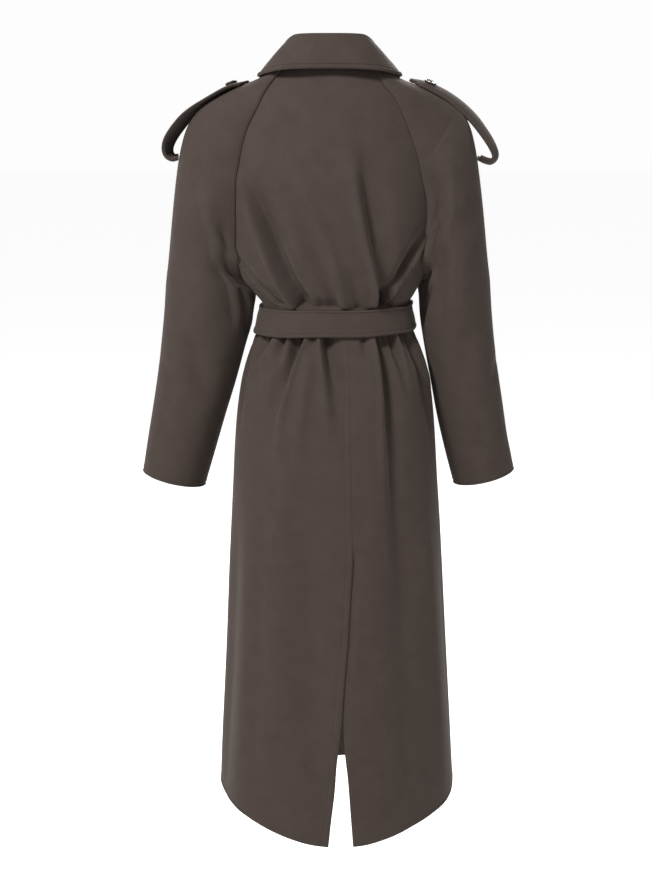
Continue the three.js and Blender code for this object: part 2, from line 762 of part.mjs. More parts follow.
// The button near a strap's neck end
function strapButton(name, rows) {
  const seat = strapThickness / 2 + seamGap;
  const { centre, out } = strapFrame(rows, buttonSeat);
  const geometry = new THREE.CylinderGeometry(
    buttonRadius, buttonRadius, buttonThickness, buttonSides,
  );
  const mesh = new THREE.Mesh(geometry, new THREE.MeshStandardMaterial(horn));
  mesh.name = name;
  mesh.quaternion.setFromUnitVectors(new V(0, 1, 0), out);
  mesh.position.copy(centre).addScaledVector(out, seat + buttonThickness / 2);
  return mesh;
}

// The belt round the waist
function belt() {
  const columns = 60;
  const grid = [0.5, 0, -0.5].map((share) => {
    return steps(columns).map((run) => {
      const turn = lerp(-180, 180, run);
      const x = plainPoint(turn, beltMiddle).x;
      const z = beltMiddle + beltTilt * (x - beltCentre) + share * beltWidth;
      const front = smoothstep(Math.abs(turn), beltRiseFrom, beltRiseTo);
      const out = lerp(beltOut, beltFrontOut, front);
      const facingOut = facing(plainPoint, turn, z);
      const outer = plainPoint(turn, z).addScaledVector(facingOut, out);
      return { outer, inner: outer.clone().addScaledVector(facingOut, -beltThickness) };
    });
  });
  return wallMesh('belt', grid, wool, 0);
}

// The knot, a rounded lump in front of the belt
function beltKnot() {
  const sides = 16;
  const face = frontAt(beltMiddle) + beltFrontOut + knotGap;
  const positions = [];
  const index = [];
  for (const ring of knotRings) {
    for (let i = 0; i < sides; i += 1) {
      const angle = (i / sides) * 2 * Math.PI;
      const slope = frontAt(ring.z) - frontAt(beltMiddle);
      const back = face + Math.max(0, slope) + ring.depth;
      const x = beltCentre + ring.half * power(Math.cos(angle));
      positions.push(x, -back - ring.depth * power(Math.sin(angle)), ring.z);
    }
  }
  for (let row = 0; row < knotRings.length - 1; row += 1) {
    for (let i = 0; i < sides; i += 1) {
      const a = row * sides + i;
      const b = row * sides + ((i + 1) % sides);
      index.push(a, b, b + sides, a, b + sides, a + sides);
    }
  }
  const low = (knotRings.length - 1) * sides;
  for (let i = 1; i < sides - 1; i += 1) {
    index.push(0, i + 1, i, low, low + i, low + i + 1);
  }
  return solidMesh('belt_knot', positions, index, wool);
}

// One hanging end of the belt, laid on the skirt's front
function beltEnd(name, rows, side) {
  const columns = 4;
  const clear = frontLift + beltEndGap;
  const grid = rows.map((row) => steps(columns).map((share) => {
    const away = row.offset + (share - 0.5) * row.width;
    const turn = side * frontTurn(side * away, row.z);
    const lift = clear + beltEndThickness;
    const outer = plainPoint(turn, row.z).addScaledVector(facing(plainPoint, turn, row.z), lift);
    const inward = facing(plainPoint, turn, row.z);
    return { outer, inner: outer.clone().addScaledVector(inward, -beltEndThickness) };
  }));
  return wallMesh(name, grid, wool);
}

const coat = new THREE.Group();
const leftSleeve = sleeve('sleeve_left', 1, leftShoulder, leftArm, leftSleeveFolds);
const rightSleeve = sleeve('sleeve_right', -1, rightShoulder, rightArm, rightSleeveFolds);

// The neck edge from the left front round the back to the right front
function neckLine() {
  const edgeZ = leftShoulder[0].frontZ + neckRise;
  const frontEnd = frontTurn(reachAt(edgeZ), edgeZ);
  const frontPlaces = (side) => [0, 0.5].map((share) => clothPoint(
    side * lerp(frontEnd, leftShoulder[0].frontTurn, share),
    lerp(edgeZ, leftShoulder[0].frontZ, share),
  ));
  const backPlaces = steps(12).slice(1, -1).map((share) => {
    const turn = lerp(leftShoulder[0].backTurn, -rightShoulder[0].backTurn, share);
    const rise = 4 * share * (1 - share) * (leftShoulder[0].midZ - leftShoulder[0].backZ);
    return clothPoint(turn, leftShoulder[0].backZ + rise);
  });
  return [
    ...frontPlaces(1),
    ...[...leftSleeve.neck].reverse(),
    ...backPlaces,
    ...rightSleeve.neck,
    ...frontPlaces(-1).reverse(),
  ];
}

coat.add(
  backBodice(),
  backSkirt('skirt_back_left', 1),
  backSkirt('skirt_back_right', -1),
  frontPanel('front_left', 1),
  frontPanel('front_right', -1),
  lapel('lapel_left', 1, leftLapel),
  lapel('lapel_right', -1, rightLapel),
  leftSleeve.mesh,
  rightSleeve.mesh,
  collarStand(neckLine()),
  collarFall(),
  shoulderStrap('epaulette_left', leftStrap),
  shoulderStrap('epaulette_right', rightStrap),
  strapButton('epaulette_button_left', leftStrap),
  strapButton('epaulette_button_right', rightStrap),
  belt(),
  beltKnot(),
  beltEnd('belt_end_left', leftEnd, 1),
  beltEnd('belt_end_right', rightEnd, -1),
);

export default coat;
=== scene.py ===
import math

import bmesh
import bpy
import numpy as np
from mathutils import Matrix, Vector


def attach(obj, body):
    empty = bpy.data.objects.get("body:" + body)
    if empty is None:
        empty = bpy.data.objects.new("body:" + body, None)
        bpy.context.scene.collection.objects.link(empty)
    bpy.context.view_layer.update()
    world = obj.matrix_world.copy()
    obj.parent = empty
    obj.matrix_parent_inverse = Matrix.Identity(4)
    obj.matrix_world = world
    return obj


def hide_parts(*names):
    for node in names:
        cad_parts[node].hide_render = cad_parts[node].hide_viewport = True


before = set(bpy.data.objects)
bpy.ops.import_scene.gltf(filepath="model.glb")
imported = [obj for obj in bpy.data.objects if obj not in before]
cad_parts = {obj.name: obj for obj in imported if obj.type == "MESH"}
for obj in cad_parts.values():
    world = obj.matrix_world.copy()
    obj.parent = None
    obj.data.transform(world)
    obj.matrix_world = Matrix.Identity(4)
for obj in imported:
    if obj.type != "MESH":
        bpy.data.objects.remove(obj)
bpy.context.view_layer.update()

# Lengths are worked out in millimetres, and MM turns them into metres.
# A place on the body is a turn about its middle, 0 at the centre back, 90 at the wearer's
# left side and 180 at the centre front, and a height above the neck base.
MM = 0.001
WALL = 2.6
SEAM_GAP = 0.16
SIDE_SEAM_LAP = 0.3
COLLAR_WALL = 3.0
RIM_ROUND, RIM_SEGMENTS, RIM_ANGLE = 0.45, 2, 62
INWARDS = -1
ROUNDNESS = 2.25


def table(columns, rows):
    return [dict(zip(columns.split(), row)) for row in rows]


def curve(rows, key, column):
    """A smooth curve through one column of a table, read by another column."""
    points = sorted(rows, key=lambda row: row[key])
    x = np.array([float(row[key]) for row in points])
    y = np.array([float(row[column]) for row in points])
    before = np.maximum(np.arange(len(x)) - 1, 0)
    after = np.minimum(np.arange(len(x)) + 1, len(x) - 1)
    slope = (y[after] - y[before]) / (x[after] - x[before])

    def value(at):
        i = np.clip(np.searchsorted(x, at, side="right") - 1, 0, len(x) - 2)
        span = x[i + 1] - x[i]
        t = np.clip((at - x[i]) / span, 0, 1)
        t2, t3 = t * t, t * t * t
        return ((2 * t3 - 3 * t2 + 1) * y[i] + (t3 - 2 * t2 + t) * span * slope[i]
                + (3 * t2 - 2 * t3) * y[i + 1] + (t3 - t2) * span * slope[i + 1])

    return value


def smooth(value, low, high):
    t = np.clip((value - low) / (high - low), 0, 1)
    return t * t * (3 - 2 * t)


def mix(a, b, share):
    return a + (b - a) * share


def unit(vectors):
    return vectors / np.maximum(np.linalg.norm(vectors, axis=-1, keepdims=True), 1e-9)


# Rings of the body: middle, half width, and depths to the back and to the front
RINGS = table("z shift half back front", [
    (6, 0, 80, 60, 40), (-10, 0, 96, 67, 46), (-35, 0, 124, 80, 58),
    (-60, 0, 144, 91, 73), (-110, 0, 164, 105, 99), (-175, 0, 172, 117, 118),
    (-240, 0, 170, 121, 124), (-300, -1, 159, 118, 119), (-335, -4, 146, 112, 112),
    (-360, -8, 129, 103, 103), (-378, -10, 117.5, 94, 93), (-400, -10, 121.5, 96, 95),
    (-422, -10, 126.5, 100, 98), (-445, -10, 137, 111, 108), (-470, -10, 146, 121, 116),
    (-510, -10, 155, 133, 124), (-567, -9.5, 162, 145, 131), (-668, -9.5, 169, 155, 137),
    (-796, -10.5, 178, 164, 143), (-954, -12, 187, 175, 149), (-1117, -13, 197, 184, 154),
    (-1240, -14, 203, 191, 158),
])
shift_at = curve(RINGS, "z", "shift")
half_at = curve(RINGS, "z", "half")
back_at = curve(RINGS, "z", "back")
front_at = curve(RINGS, "z", "front")

HEM = table("turn z", [
    (0, -1238), (10, -1235), (20, -1228), (37, -1215), (53, -1205), (72, -1199),
    (90, -1198), (120, -1206), (150, -1222), (180, -1234),
])
hem_at = curve(HEM, "turn", "z")

# Troughs and, where the depth is below zero, ridges of the body's cloth. Each runs from its
# top to its low end, with its turn at both and a bow between. A crisp one has a steep wall
# and a lip on its left, 1, or on its right, -1.
FOLD_COLUMNS = "top low turn_top turn_low bow width depth crisp"
BLOUSE_FOLDS = table(FOLD_COLUMNS, [
    (-140, -376, 51, 25, -5, 19, 24, 1), (-215, -372, 42, 19, -4, 11, 5, 0),
    (-145, -376, 27, 0.4, -6, 16, 12, -1), (-100, -376, -16, -35, 6, 16, 17, 1),
    (-235, -376, -69, -37, 3, 12, 15, -1), (-280, -372, 70, 45, 0, 11, 7, 1),
    (-290, -376, 17, 9, 0, 9, 6, 0), (-300, -376, -8, -15, 0, 10, 5, 0),
    (-235, -376, -21, -26, -2, 10, -4, 0), (-300, -376, -52, -44, 0, 8, 5, 0),
    (-200, -376, 118, 140, 0, 16, 10, 1), (-200, -376, -118, -140, 0, 16, 10, -1),
    (-280, -376, 160, 165, 0, 11, 7, 0), (-280, -376, -160, -165, 0, 11, 7, 0),
    (-300, -376, 98, 104, 0, 10, 7, 0), (-300, -376, -98, -104, 0, 10, 7, 0),
    (-250, -376, 145, 155, 0, 9, 4, 0), (-250, -376, -145, -155, 0, 9, 4, 0),
])
GATHERS = table(FOLD_COLUMNS, [
    (-404, -490, 51, 71, 0, 11, 15, 0), (-404, -480, 41, 37, 0, 9, 14, 0),
    (-404, -640, 20.5, 37, 4, 13, 20, -1), (-404, -600, 8.5, -1.5, -3, 12, 19, 1),
    (-404, -880, -29.5, -36, 3, 17, 16, 1), (-404, -520, -43.5, -45, 0, 10, 16, -1),
    (-404, -620, -61, -69, 0, 12, 15, 0), (-404, -600, 79, 70, 0, 12, 14, 0),
    (-404, -470, 30, 28, 0, 7, 9, 0), (-404, -452, 14.5, 14, 0, 6, 7, 0),
    (-404, -465, -17, -18, 0, 6, 8, 0), (-404, -460, -36, -38, 0, 6, 9, 0),
    (-404, -460, 62, 66, 0, 7, 9, 0), (-404, -480, -53, -56, 0, 8, 10, 0),
    (-404, -500, 91, 92, 0, 9, 11, 0), (-404, -500, -80, -84, 0, 9, 11, 0),
    (-404, -700, 100, 108, 0, 12, 12, 1), (-404, -1300, 122, 128, 0, 18, 12, 0),
    (-404, -640, 145, 148, 0, 12, 12, 0), (-404, -700, -100, -110, 0, 12, 12, -1),
    (-404, -1300, -124, -130, 0, 18, 12, 0), (-404, -620, -148, -150, 0, 12, 12, 0),
    (-404, -480, 134, 136, 0, 8, 9, 0), (-404, -480, -136, -138, 0, 8, 9, 0),
    (-404, -470, 166, 168, 0, 8, 7, 0), (-404, -470, -166, -168, 0, 8, 7, 0),
])
SWELLS = table(FOLD_COLUMNS, [
    (-412, -600, 30, 34, 0, 11, -5, 0), (-412, -640, 14.5, 19, 0, 10, -6, 0),
    (-412, -500, 46, 52, 0, 9, -4, 0), (-412, -560, -21, -20, 0, 14, -4, 0),
    (-412, -520, -38, -40, 0, 7, -4, 0), (-412, -520, -52, -56, 0, 9, -4, 0),
    (-412, -540, 70, 80, 0, 10, -4, 0), (-412, -540, -72, -78, 0, 10, -4, 0),
    (-460, -1180, 27, 31, 0, 26, -6, 0), (-560, -1300, 12, 8, 0, 24, 6, 0),
    (-600, -1300, -34, -35, 0, 26, 7, 0), (-620, -1300, -52, -60, 0, 28, -6, 0),
    (-640, -1300, 66, 72, 0, 28, 6, 0), (-640, -1300, 48, 52, 0, 24, -4, 0),
    (-480, -1000, -19, -17, 0, 26, -4, 0), (-700, -1300, -78, -84, 0, 30, 5, 0),
    (-600, -1300, 96, 100, 0, 30, 5, 0), (-600, -1300, -104, -106, 0, 30, -4, 0),
])


SHOULDER_COLUMNS = ("back_turn back_z mid_z front_turn front_z top_x top_z depth")
LEFT_SHOULDER = table(SHOULDER_COLUMNS, [
    (47, -6, 3, 139, -20, 84, -12, 47), (46, -35, -26, 140, -50, 112, -27, 58.5),
    (46, -64, -60, 140, -84, 140, -38, 67), (50, -100, -100, 137, -120, 166, -50, 70),
    (52.5, -135, -138, 135, -158, 190, -63.5, 73), (55, -180, -180, 133, -195, 207, -77, 74),
    (57, -223, -217, 131, -228, 222, -99, 75), (59, -255, -248, 127, -262, 232, -129, 75),
    (64, -285, -278, 121, -292, 240, -171, 75), (68, -313, -310, 114, -318, 247, -226, 74),
    (90, -350, -345, 90, -350, 254, -290, 73),
])
RIGHT_SHOULDER = table(SHOULDER_COLUMNS, [
    (41, -6, 3, 139, -20, 84, -12, 49), (39, -35, -26, 140, -50, 112, -27, 62),
    (43, -60, -60, 140, -84, 140, -38, 67), (46, -105, -100, 137, -120, 166, -50, 71),
    (50.5, -142, -138, 135, -158, 190, -63, 73), (54.5, -178, -180, 133, -195, 206, -76, 74),
    (59.5, -211, -217, 131, -228, 219, -98, 75), (62, -240, -248, 127, -262, 228, -130, 75),
    (64, -271, -278, 121, -289, 235, -171, 74), (65, -306, -310, 114, -313, 242, -222, 73),
    (90, -340, -345, 90, -340, 249, -285, 72),
])
UNDERARM = len(LEFT_SHOULDER) - 1

ARM_COLUMNS = "top_x top_z inner_x inner_z middle_y depth"
LEFT_ARM = table(ARM_COLUMNS, [
    (257, -315, 123, -358, 0, 72), (261, -345, 123, -372, -1, 71),
    (265, -390, 129, -407, -3, 69), (271, -440, 142, -455, -6, 66),
    (278, -490, 157, -508, -9, 62), (287, -542, 174, -562, -13, 59),
    (297, -595, 190, -616, -18, 56), (303, -628, 200.5, -651, -21, 54),
    (309, -661, 210.5, -685, -25, 52),
])
RIGHT_ARM = table(ARM_COLUMNS, [
    (252, -310, 145, -349, 0, 71), (256, -340, 147, -364, -1, 70),
    (260, -388, 150, -402, -3, 68), (266, -440, 159, -455, -6, 65),
    (274, -492, 169.5, -508, -9, 62), (283, -544, 180, -562, -13, 59),
    (292, -596, 193, -616, -18, 56), (299, -627, 202, -650, -21, 54),
    (306, -658, 211, -682, -25, 52),
])

SLEEVE_FOLD_COLUMNS = "top low angle_top angle_low width depth crisp"
LEFT_SLEEVE_FOLDS = table(SLEEVE_FOLD_COLUMNS, [
    (-150, -345, 44, 112, 16, 8, 1), (-235, -385, 96, 170, 14, 13, 1),
    (-290, -430, 104, 138, 13, 8, 1),
    (-170, -340, 66, 100, 18, -4, 0), (-400, -540, 60, 120, 20, 5, 0),
    (-430, -520, -110, -60, 20, 7, 0), (-240, -360, -100, -150, 16, 9, -1),
    (-335, -440, 138, 172, 11, 7, 1), (-455, -520, 20, 70, 16, 3, 0),
    (-540, -620, 40, 90, 18, 3, 0), (-380, -640, 84, 96, 26, 3, 0),
])
RIGHT_SLEEVE_FOLDS = table(SLEEVE_FOLD_COLUMNS, [
    (-120, -420, 84, 124, 14, 9, -1), (-170, -420, 62, 96, 16, -4, 0),
    (-250, -385, 116, 168, 13, 10, -1), (-430, -520, -110, -60, 20, 7, 0),
    (-380, -520, 60, 112, 20, 4, 0), (-240, -360, -100, -150, 16, 9, -1),
    (-330, -420, 130, 168, 11, 7, -1), (-455, -530, 10, 60, 16, 3, 0),
    (-560, -630, 60, 110, 18, 3, 0), (-380, -640, 84, 96, 26, 3, 0),
])

FRONT_EDGE = table("z reach", [
    (-14, 52), (-93, 19), (-172, -14), (-251, -47), (-320, -76), (-345, -82),
    (-400, -80), (-700, -92), (-1240, -105),
])
reach_at = curve(FRONT_EDGE, "z", "reach")
FRONT_LIFT = 8.2
LIFT_HIGH, LIFT_LOW = 20, 150
LIFT_FROM, LIFT_TO = 0.1, 0.55
LAPEL_LIFT = 4.2

LAPEL_COLUMNS = "z width fall"
RIGHT_LAPEL = table(LAPEL_COLUMNS, [
    (-50, 60, 30), (-90, 66, 24), (-135, 58, 14), (-180, 46, 6), (-225, 33, 0),
    (-270, 19, 0), (-312, 4, 0),
])
LEFT_LAPEL = table(LAPEL_COLUMNS, [
    (-50, 60, 30), (-85, 64, 22), (-115, 52, 12), (-145, 36, 5), (-172, 20, 0), (-196, 4, 0),
])

FOLD_HALF, FOLD_BACK, FOLD_FRONT = 72, 70, 66
COLLAR_END = 130
COLLAR_FOLD = table("angle z", [
    (0, 39), (30, 39), (48, 38), (60, 34), (75, 28.5), (90, 23), (112, 12), (130, -1),
])
COLLAR_EDGE = table("angle x y z", [
    (-25, -50, 84, -11.5), (0, 0, 85, -11), (25, 50, 84, -11.5), (42, 78, 73, -13),
    (58, 99, 50, -16.5), (75, 111, 22, -19), (90, 115, -4, -20), (103, 114, -30, -19),
    (112, 110, -51, -27), (120, 103, -68, -43), (126, 96, -79, -62), (130, 89, -87, -78),
])
COLLAR_ROLL, COLLAR_FRONT_ROLL = 3.5, 7

BACK_SEAM = table("z turn", [
    (-400, -6.9), (-440, -6.6), (-482, -6.2), (-560, -6.4), (-660, -6.7), (-770, -6.7),
])
VENT_LEFT = table("z turn", [
    (-773, -6.7), (-841, -5.2), (-896, -4.2), (-972, -2.4), (-1022, -1.5), (-1089, 0),
    (-1147, 0.9), (-1197, 2.2), (-1238, 3.2),
])
VENT_RIGHT = table("z turn", [
    (-773, 3.2), (-841, 1.6), (-896, 0.4), (-972, -1.7), (-1022, -1.9), (-1075, -2.3),
    (-1126, -3.5), (-1177, -4.3), (-1238, -5.2),
])
VENT_TOP, VENT_SINK, VENT_SINK_RISE, VENT_BLEND, VENT_INSET = -770, 3.4, 34, 4, 0.35

BELT_WIDTH, BELT_MIDDLE, BELT_TILT, BELT_CENTRE = 45, -398.5, -0.03, -10
BELT_THICKNESS, BELT_OUT, BELT_FRONT_OUT = 4.2, 6.5, 15.4
BELT_RISE_FROM, BELT_RISE_TO = 88, 135
END_THICKNESS, END_GAP = 3.4, 1.2

STRAP_WIDTH, STRAP_THICKNESS, STRAP_ARCH = 52, 4.5, 1 / 144
STRAP_COLUMNS = "x z lean"
LEFT_STRAP = table(STRAP_COLUMNS, [
    (127, -29.4, -2), (140, -31.7, -4), (153, -34.5, -6), (167, -41, -8), (182, -49.5, -9),
    (198, -59, -10), (214, -69.5, -12), (229, -82, -14), (241, -95.5, -15), (251, -109, -15),
    (257.5, -121, -14), (260, -132, -12), (258.5, -141, -10), (254, -147, -8),
    (247.5, -149.5, -6), (240.5, -148, -4),
])
RIGHT_STRAP = table(STRAP_COLUMNS, [
    (-127, -26.5, 5), (-141, -28.5, 9), (-157, -33, 13), (-173, -40.5, 15),
    (-189, -49.5, 16), (-204, -60.5, 18), (-218, -72, 18), (-232, -86, 18),
    (-244, -101, 17), (-254, -115, 16), (-262, -129, 14), (-266, -141, 12),
    (-263.5, -150, 9), (-256, -155, 7), (-246, -153, 5), (-235.5, -148, 3),
])
BUTTON_SEAT, BUTTON_RADIUS, BUTTON_THICKNESS = 2, 10, 3.4

END_COLUMNS = "z offset width"
LEFT_END = table(END_COLUMNS, [
    (-431, 8, 24), (-450, 12, 34), (-480, 18, 42), (-510, 22, 43), (-540, 26, 44),
    (-580, 30, 45), (-620, 33, 45), (-700, 38, 45), (-760, 41, 45), (-772, 41.5, 45),
])
RIGHT_END = table(END_COLUMNS, [
    (-431, -24, 24), (-450, -29, 34), (-480, -36, 42), (-510, -41, 43), (-540, -45, 44),
    (-580, -49, 45), (-620, -52, 45), (-690, -56, 45), (-730, -58, 45), (-742, -58.5, 45),
])
KNOT_RINGS = table("z half depth", [
    (-372, 15, 7), (-379, 21, 13), (-390, 24, 17), (-402, 25, 18), (-414, 24, 17),
    (-424, 20, 13), (-430, 14, 8),
])

# Topstitching and turned edges, as distances from a piece's edge
SEAM_MARKS = (0, 0.5, 1.1, 1.9, 3.0, 4.3, 5.2, 5.8, 6.4, 7.2, 8.6)
EDGE_MARKS = (0, 0.6, 1.5, 3.0, 5.0, 6.6, 7.4, 8.0, 8.6, 9.4, 11)
BELT_MARKS = (0, 0.5, 1.2, 2.4, 4.2, 5.3, 5.9, 6.5, 7.4)
SEAM_STITCH, EDGE_STITCH, BELT_STITCH = 5.8, 8.0, 5.9
SEAM_ROLL = 0.18


def power(value):
    return np.sign(value) * np.abs(value) ** (2 / ROUNDNESS)


def plain(turn, z):
    """The body's plain surface, before its folds."""
    turn, z = np.broadcast_arrays(np.asarray(turn, float), np.asarray(z, float))
    angle = np.radians(turn)
    rear = np.cos(angle)
    depth = np.where(rear > 0, back_at(z), front_at(z))
    return np.stack([shift_at(z) + half_at(z) * power(np.sin(angle)),
                     depth * power(rear), z], -1)


def facing(surface, turn, z, step=1.0):
    across = surface(turn + step, z) - surface(turn - step, z)
    up = surface(turn, z + step) - surface(turn, z - step)
    return unit(np.cross(up, across))


def crease(across, crisp):
    """The section of a fold: deepest at its middle, steep and lipped on its crisp side."""
    steep = across * crisp > 0
    reach = np.where(steep, 0.5, 1.7 if crisp else 1.0)
    section = np.exp(-(across / reach) ** 2)
    lip = 0.3 * abs(crisp) * np.exp(-((across * crisp - 1.0) / 0.5) ** 2)
    return section - lip


def fold_height(rows, turn, z, fade, spread=0.0):
    """Spread is how much wider than its middle a fold is at its low end."""
    height = np.zeros(np.broadcast(turn, z).shape)
    for fold in rows:
        run = (fold["top"] - z) / (fold["top"] - fold["low"])
        middle = mix(fold["turn_top"], fold["turn_low"], run)
        middle = middle + 4 * fold["bow"] * run * (1 - run)
        away = (turn - middle + 540) % 360 - 180
        width = fold["width"] * (1 + spread * (2 * np.clip(run, 0, 1) - 1))
        across = np.radians(away) * half_at(z) / width
        inside = (run > 0) & (run < 1)
        height -= np.where(inside, fold["depth"] * fade(run, z) * crease(across, fold["crisp"]), 0)
    return height


def to_the_belt(run, z):
    """A fold of the blouse grows out of the cloth and runs in under the belt."""
    return smooth(run, 0, 0.45) * smooth(-z, 400, 384)


def from_the_belt(run, z):
    return smooth(-z, 404, 416) * (1 - smooth(run, 0.12, 1))


def along_the_skirt(run, z):
    return smooth(run, 0, 0.3) * (1 - smooth(run, 0.6, 1))


UNDER_BELT = 1.5


def body_height(turn, z):
    """Folds of the whole body, held flat under the belt."""
    height = fold_height(BLOUSE_FOLDS, turn, z, to_the_belt, -0.35)
    height += fold_height(GATHERS, turn, z, from_the_belt, 0.5)
    height += fold_height(SWELLS, turn, z, along_the_skirt)
    belt_middle = BELT_MIDDLE + BELT_TILT * (plain(turn, z)[..., 0] - BELT_CENTRE)
    held = 1 - smooth(np.abs(z - belt_middle), BELT_WIDTH / 2, BELT_WIDTH / 2 + 5)
    return np.where(height > UNDER_BELT, mix(height, UNDER_BELT, held), height)


def cloth(turn, z, out=0.0):
    """The body's cloth, moved out where it lies on another layer."""
    return plain(turn, z) + facing(plain, turn, z) * (body_height(turn, z) + out)[..., None]


def length_of(points):
    steps = np.linalg.norm(np.diff(points, axis=1), axis=-1)
    return steps.sum(1)


def across_steps(lengths, count, first, last):
    """Shares across each row, with columns at fixed distances from its two edges."""
    first, last = np.array(first, float), np.array(last, float)
    n = len(lengths)
    low = np.full(n, first[-1]) / lengths
    high = 1 - last[-1] / lengths
    middle = mix(low[:, None], high[:, None], np.linspace(0, 1, count + 1)[None, :])
    left = first[None, :-1] / lengths[:, None]
    right = 1 - last[None, :-1][:, ::-1] / lengths[:, None]
    return np.concatenate([left, middle, right], 1)


def down_steps(length, step, first, last):
    rows = max(2, int(length / step))
    return across_steps(np.array([length]), rows, first, last)[0]


def grid_normals(points):
    along = np.gradient(points, axis=1)
    down = np.gradient(points, axis=0)
    return unit(np.cross(along, down))


def edge_relief(distance, stitch, roll=1.0, puff=0.5, groove=0.45):
    """A turned edge: rounded at its rim, full behind it, drawn in along its stitching."""
    height = -roll * np.exp(-(distance / 1.0) ** 2)
    if stitch:
        height += puff * np.exp(-((distance - 0.5 * stitch) / (0.32 * stitch)) ** 2)
        height -= groove * np.exp(-((distance - stitch) / 0.8) ** 2)
    return height


def collection_link(obj):
    bpy.context.scene.collection.objects.link(obj)
    return obj


def sheet_mesh(name, points, thickness, material, out_sign, merged=False):
    """A sheet of cloth from a grid of places in millimetres, given its thickness inwards."""
    rows, columns = points.shape[:2]
    mesh = bpy.data.meshes.new(name)
    bm = bmesh.new()
    bmesh.ops.create_grid(bm, x_segments=columns - 1, y_segments=rows - 1, size=1,
                          calc_uvs=False)
    uv = bm.loops.layers.uv.new("cloth")
    across = np.concatenate([np.zeros((rows, 1)), np.cumsum(
        np.linalg.norm(np.diff(points, axis=1), axis=-1), 1)], 1) * MM
    down = np.concatenate([np.zeros((1, columns)), np.cumsum(
        np.linalg.norm(np.diff(points, axis=0), axis=-1), 0)], 0) * MM
    places = {}
    for vert in bm.verts:
        j = round((vert.co.x + 1) / 2 * (columns - 1))
        i = round((vert.co.y + 1) / 2 * (rows - 1))
        places[vert.index] = (i, j)
        vert.co = Vector(points[i, j] * MM)
    for face in bm.faces:
        for loop in face.loops:
            i, j = places[loop.vert.index]
            loop[uv].uv = (across[i, j], down[i, j])
    if merged:
        bmesh.ops.remove_doubles(bm, verts=bm.verts, dist=0.02 * MM)
    bm.normal_update()
    i, j = rows // 2, columns // 2
    wanted = np.cross(points[i, j + 1] - points[i, j], points[i + 1, j] - points[i, j])
    wanted = Vector(wanted * out_sign)
    centre = Vector(points[i, j] * MM)
    middle = min(bm.faces, key=lambda f: (f.calc_center_median() - centre).length_squared)
    if middle.normal.dot(wanted) < 0:
        bmesh.ops.reverse_faces(bm, faces=bm.faces)
    for face in bm.faces:
        face.smooth = True
    bm.to_mesh(mesh)
    bm.free()
    obj = collection_link(bpy.data.objects.new(name, mesh))
    mesh.materials.append(material)
    solid = obj.modifiers.new("thickness", "SOLIDIFY")
    solid.thickness = thickness * MM
    solid.offset = INWARDS
    solid.use_even_offset = False
    solid.use_rim = True
    round_rim = obj.modifiers.new("turned rim", "BEVEL")
    round_rim.width = min(RIM_ROUND, 0.3 * thickness) * MM
    round_rim.segments = RIM_SEGMENTS
    round_rim.limit_method = "ANGLE"
    round_rim.angle_limit = math.radians(RIM_ANGLE)
    round_rim.harden_normals = False
    return obj


def dress(obj, *nodes, slot="wool"):
    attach(obj, "root")
    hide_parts(*nodes)
    return obj


def stitch_places(points, normals, column=None, row=None, low=0, high=None):
    """The line of a grid that a row of stitches follows."""
    if column is not None:
        return points[low:high, column], normals[low:high, column]
    return points[row, low:high], normals[row, low:high]


STITCH_LENGTH, STITCH_PITCH, THREAD = 3.0, 4.2, 0.42
stitch_runs = {}


def sew(piece, line, out_sign=1):
    """Keeps a line of stitches for the piece, to be made later in one mesh."""
    stitch_runs.setdefault(piece, []).append((line[0], line[1] * out_sign))


def make_stitches(name, runs, material):
    bm = bmesh.new()
    for points, normals in runs:
        steps = np.linalg.norm(np.diff(points, axis=0), axis=-1)
        travelled = np.concatenate([[0], np.cumsum(steps)])
        for start in np.arange(1.0, travelled[-1] - STITCH_LENGTH, STITCH_PITCH):
            ends = [np.array([np.interp(at, travelled, points[:, k]) for k in range(3)])
                    for at in (start, start + STITCH_LENGTH)]
            normal = np.array([np.interp(start, travelled, normals[:, k]) for k in range(3)])
            along = unit(ends[1] - ends[0])
            side = unit(np.cross(normal, along))
            up = np.cross(along, side)
            centre = (ends[0] + ends[1]) / 2 + up * 0.12
            turn = Matrix((along, side, up)).transposed().to_4x4()
            size = Matrix.Diagonal((STITCH_LENGTH / 2, THREAD / 2, THREAD / 2, 1))
            place = Matrix.Translation(Vector(centre * MM)) @ turn @ size
            bmesh.ops.create_icosphere(bm, subdivisions=1, radius=MM, matrix=place)
    for face in bm.faces:
        face.smooth = True
    mesh = bpy.data.meshes.new(name)
    bm.to_mesh(mesh)
    bm.free()
    mesh.materials.append(material)
    obj = collection_link(bpy.data.objects.new(name, mesh))
    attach(obj, "root")
    return obj


class Socket:
    """A node socket whose arithmetic adds Math nodes."""

    def __init__(self, shader, socket):
        self.shader = shader
        self.socket = socket

    def _math(self, operation, other, flipped=False):
        a, b = (other, self) if flipped else (self, other)
        return self.shader.node("ShaderNodeMath", {"operation": operation}, {0: a, 1: b})

    def __add__(self, other):
        return self._math("ADD", other)

    def __radd__(self, other):
        return self._math("ADD", other, True)

    def __sub__(self, other):
        return self._math("SUBTRACT", other)

    def __rsub__(self, other):
        return self._math("SUBTRACT", other, True)

    def __mul__(self, other):
        return self._math("MULTIPLY", other)

    def __rmul__(self, other):
        return self._math("MULTIPLY", other, True)


